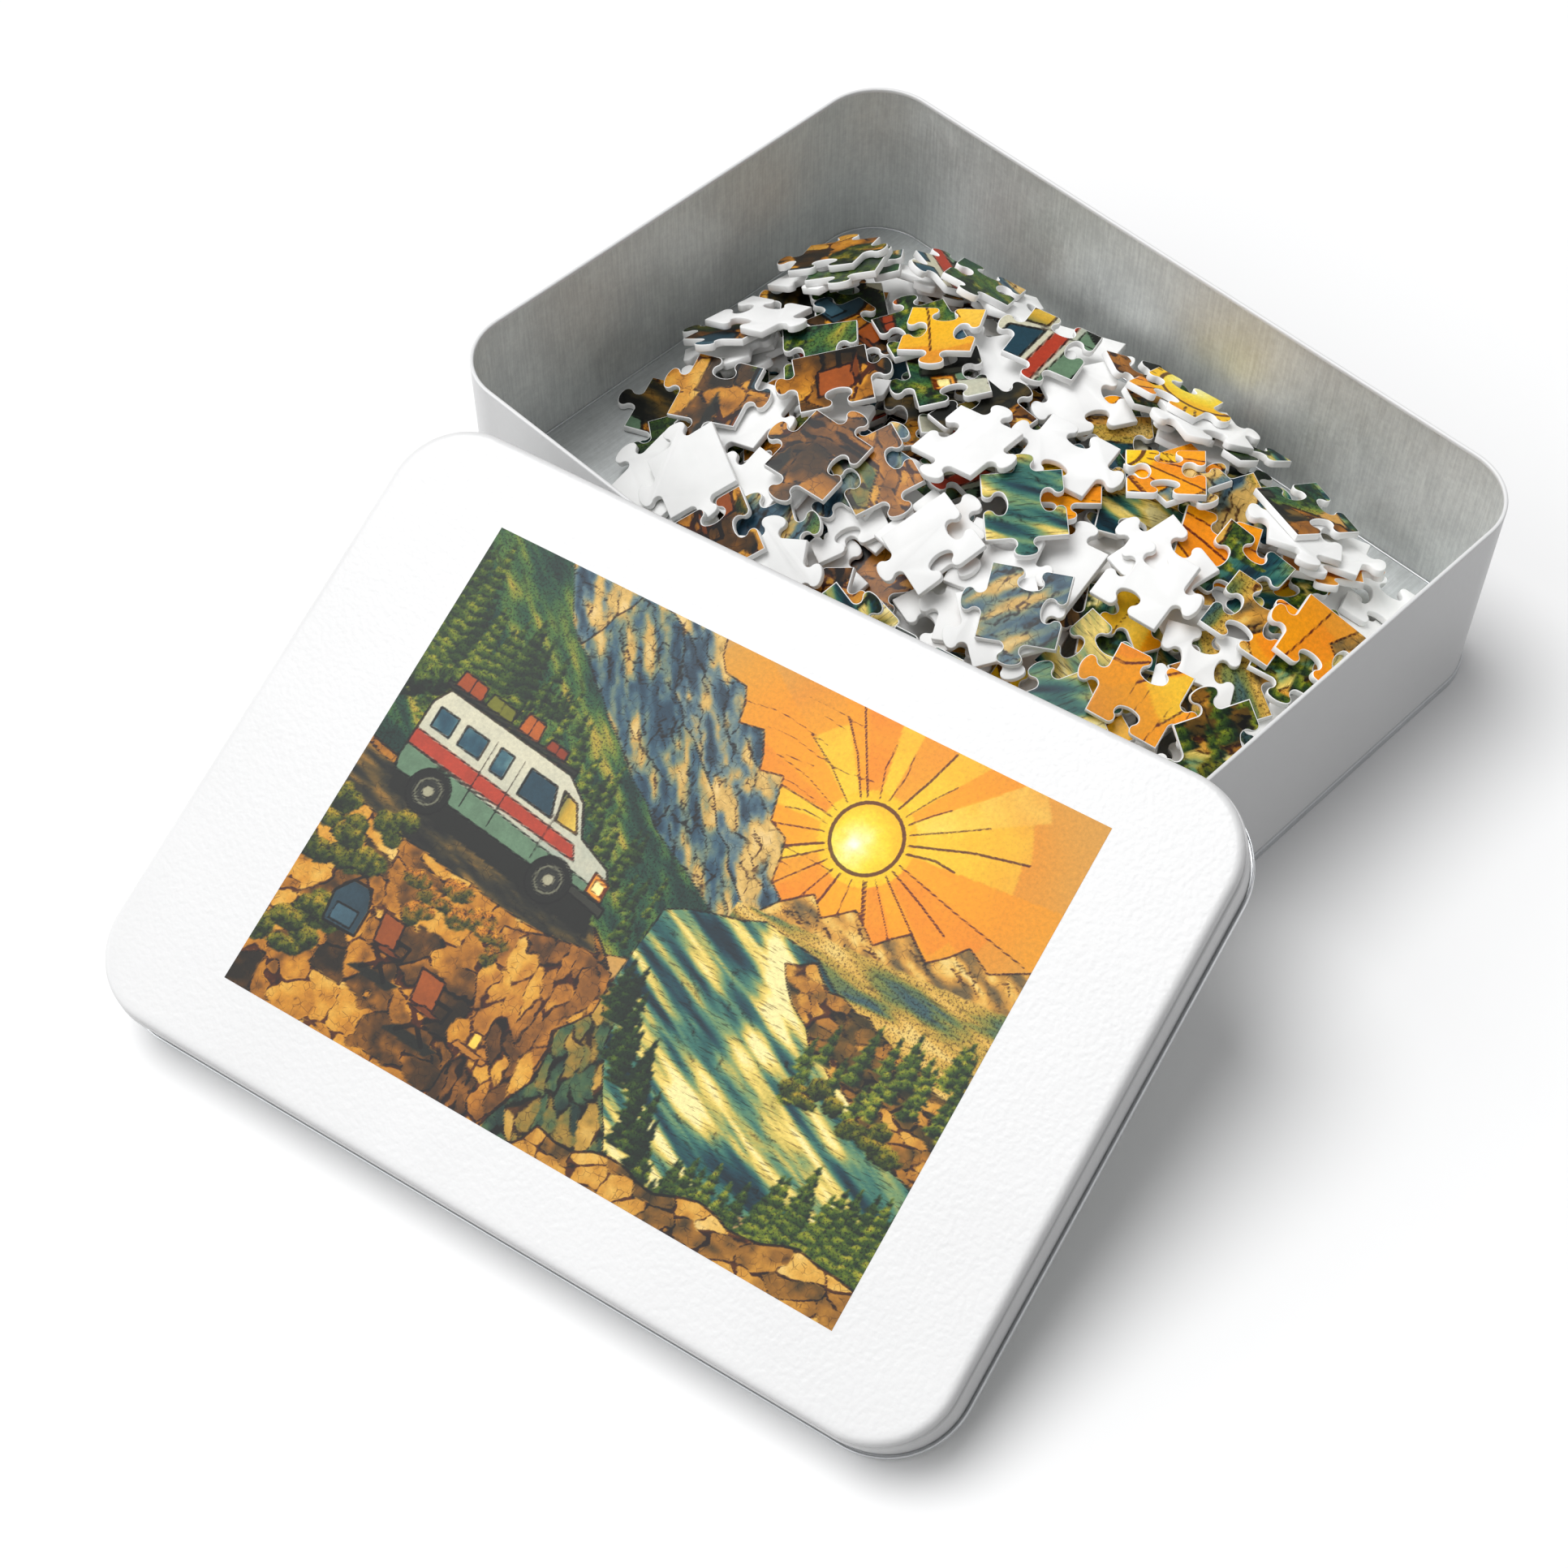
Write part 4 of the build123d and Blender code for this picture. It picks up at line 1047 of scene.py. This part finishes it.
def make_studio():
    """A white floor and backdrop, a broad soft light from the left, a fill, and even light all round."""
    bpy.ops.object.select_all(action="DESELECT")
    bpy.ops.mesh.primitive_plane_add(size=FLOOR_SIZE, location=(0, 0, 0))
    floor = bpy.context.object
    floor.name = "studio_floor"
    paper = new_material("seamless_paper")
    place = add_node(paper, "TexCoord").outputs["Object"]
    slow = add_node(paper, "TexNoise", {"Vector": place, "Scale": 3.0})
    stops = [(share, (level, level, level, 1)) for share, level in zip((0.3, 0.7), PAPER_TONES)]
    tone = add_node(paper, "ValToRGB", {"Fac": slow.outputs["Fac"]}, stops)
    shader = add_node(paper, "BsdfPrincipled", {"Base Color": tone.outputs["Color"], "Roughness": 0.9})
    finish_material(paper, shader)
    floor.data.materials.append(paper)
    floor.visible_diffuse = False

    # A white backdrop closes the view behind the floor. Only the eye sees it, so it gives no light.
    bpy.ops.mesh.primitive_uv_sphere_add(segments=48, ring_count=24, radius=BACKDROP_REACH,
                                         location=(0, 0, 0))
    backdrop = bpy.context.object
    backdrop.name = "studio_backdrop"
    for rays in ("diffuse", "glossy", "transmission", "volume_scatter", "shadow"):
        setattr(backdrop, "visible_" + rays, False)
    blank = new_material("white_backdrop")
    backdrop.data.materials.append(finish_material(blank, add_node(blank, "Emission", {"Strength": 1.0})))

    world = bpy.data.worlds.new("studio")
    bpy.context.scene.world = world
    world.use_nodes = True
    around = world.node_tree.nodes["Background"]
    around.inputs["Color"].default_value = AMBIENT_TONE
    around.inputs["Strength"].default_value = AMBIENT_STRENGTH

    for name, power, spread, toward in LAMPS:
        light = bpy.data.lights.new(name, "SUN")
        light.energy = power
        light.angle = math.radians(spread)
        lamp = bpy.data.objects.new(name, light)
        lamp.rotation_euler = Vector(toward).to_track_quat("-Z", "Y").to_euler()
        bpy.context.scene.collection.objects.link(lamp)


def make_camera():
    lens = bpy.data.cameras.new("camera")
    lens.lens, lens.sensor_width = LENS, SENSOR
    lens.clip_start, lens.clip_end = 0.02, 20
    camera = bpy.data.objects.new("camera", lens)
    turn, height = math.radians(CAMERA_TURN), math.radians(CAMERA_RISE)
    back = Vector((math.sin(turn) * math.cos(height), -math.cos(turn) * math.cos(height), math.sin(height)))
    camera.location = CAMERA_PLACE
    camera.rotation_mode = "QUATERNION"
    camera.rotation_quaternion = (-back).to_track_quat("-Z", "Y")
    bpy.context.scene.collection.objects.link(camera)
    bpy.context.scene.camera = camera


make_camera()
make_studio()
make_tin()
leaning = lid_place()
make_lid(leaning)
make_lid_print(leaning)
cut_nodes = sorted(node for node in frame["nodes"] if node.startswith(("puzzle_row", "loose_piece")))
for number, node in enumerate(cut_nodes):
    make_pieces(node, number)
bpy.context.scene.view_settings.view_transform = "Standard"
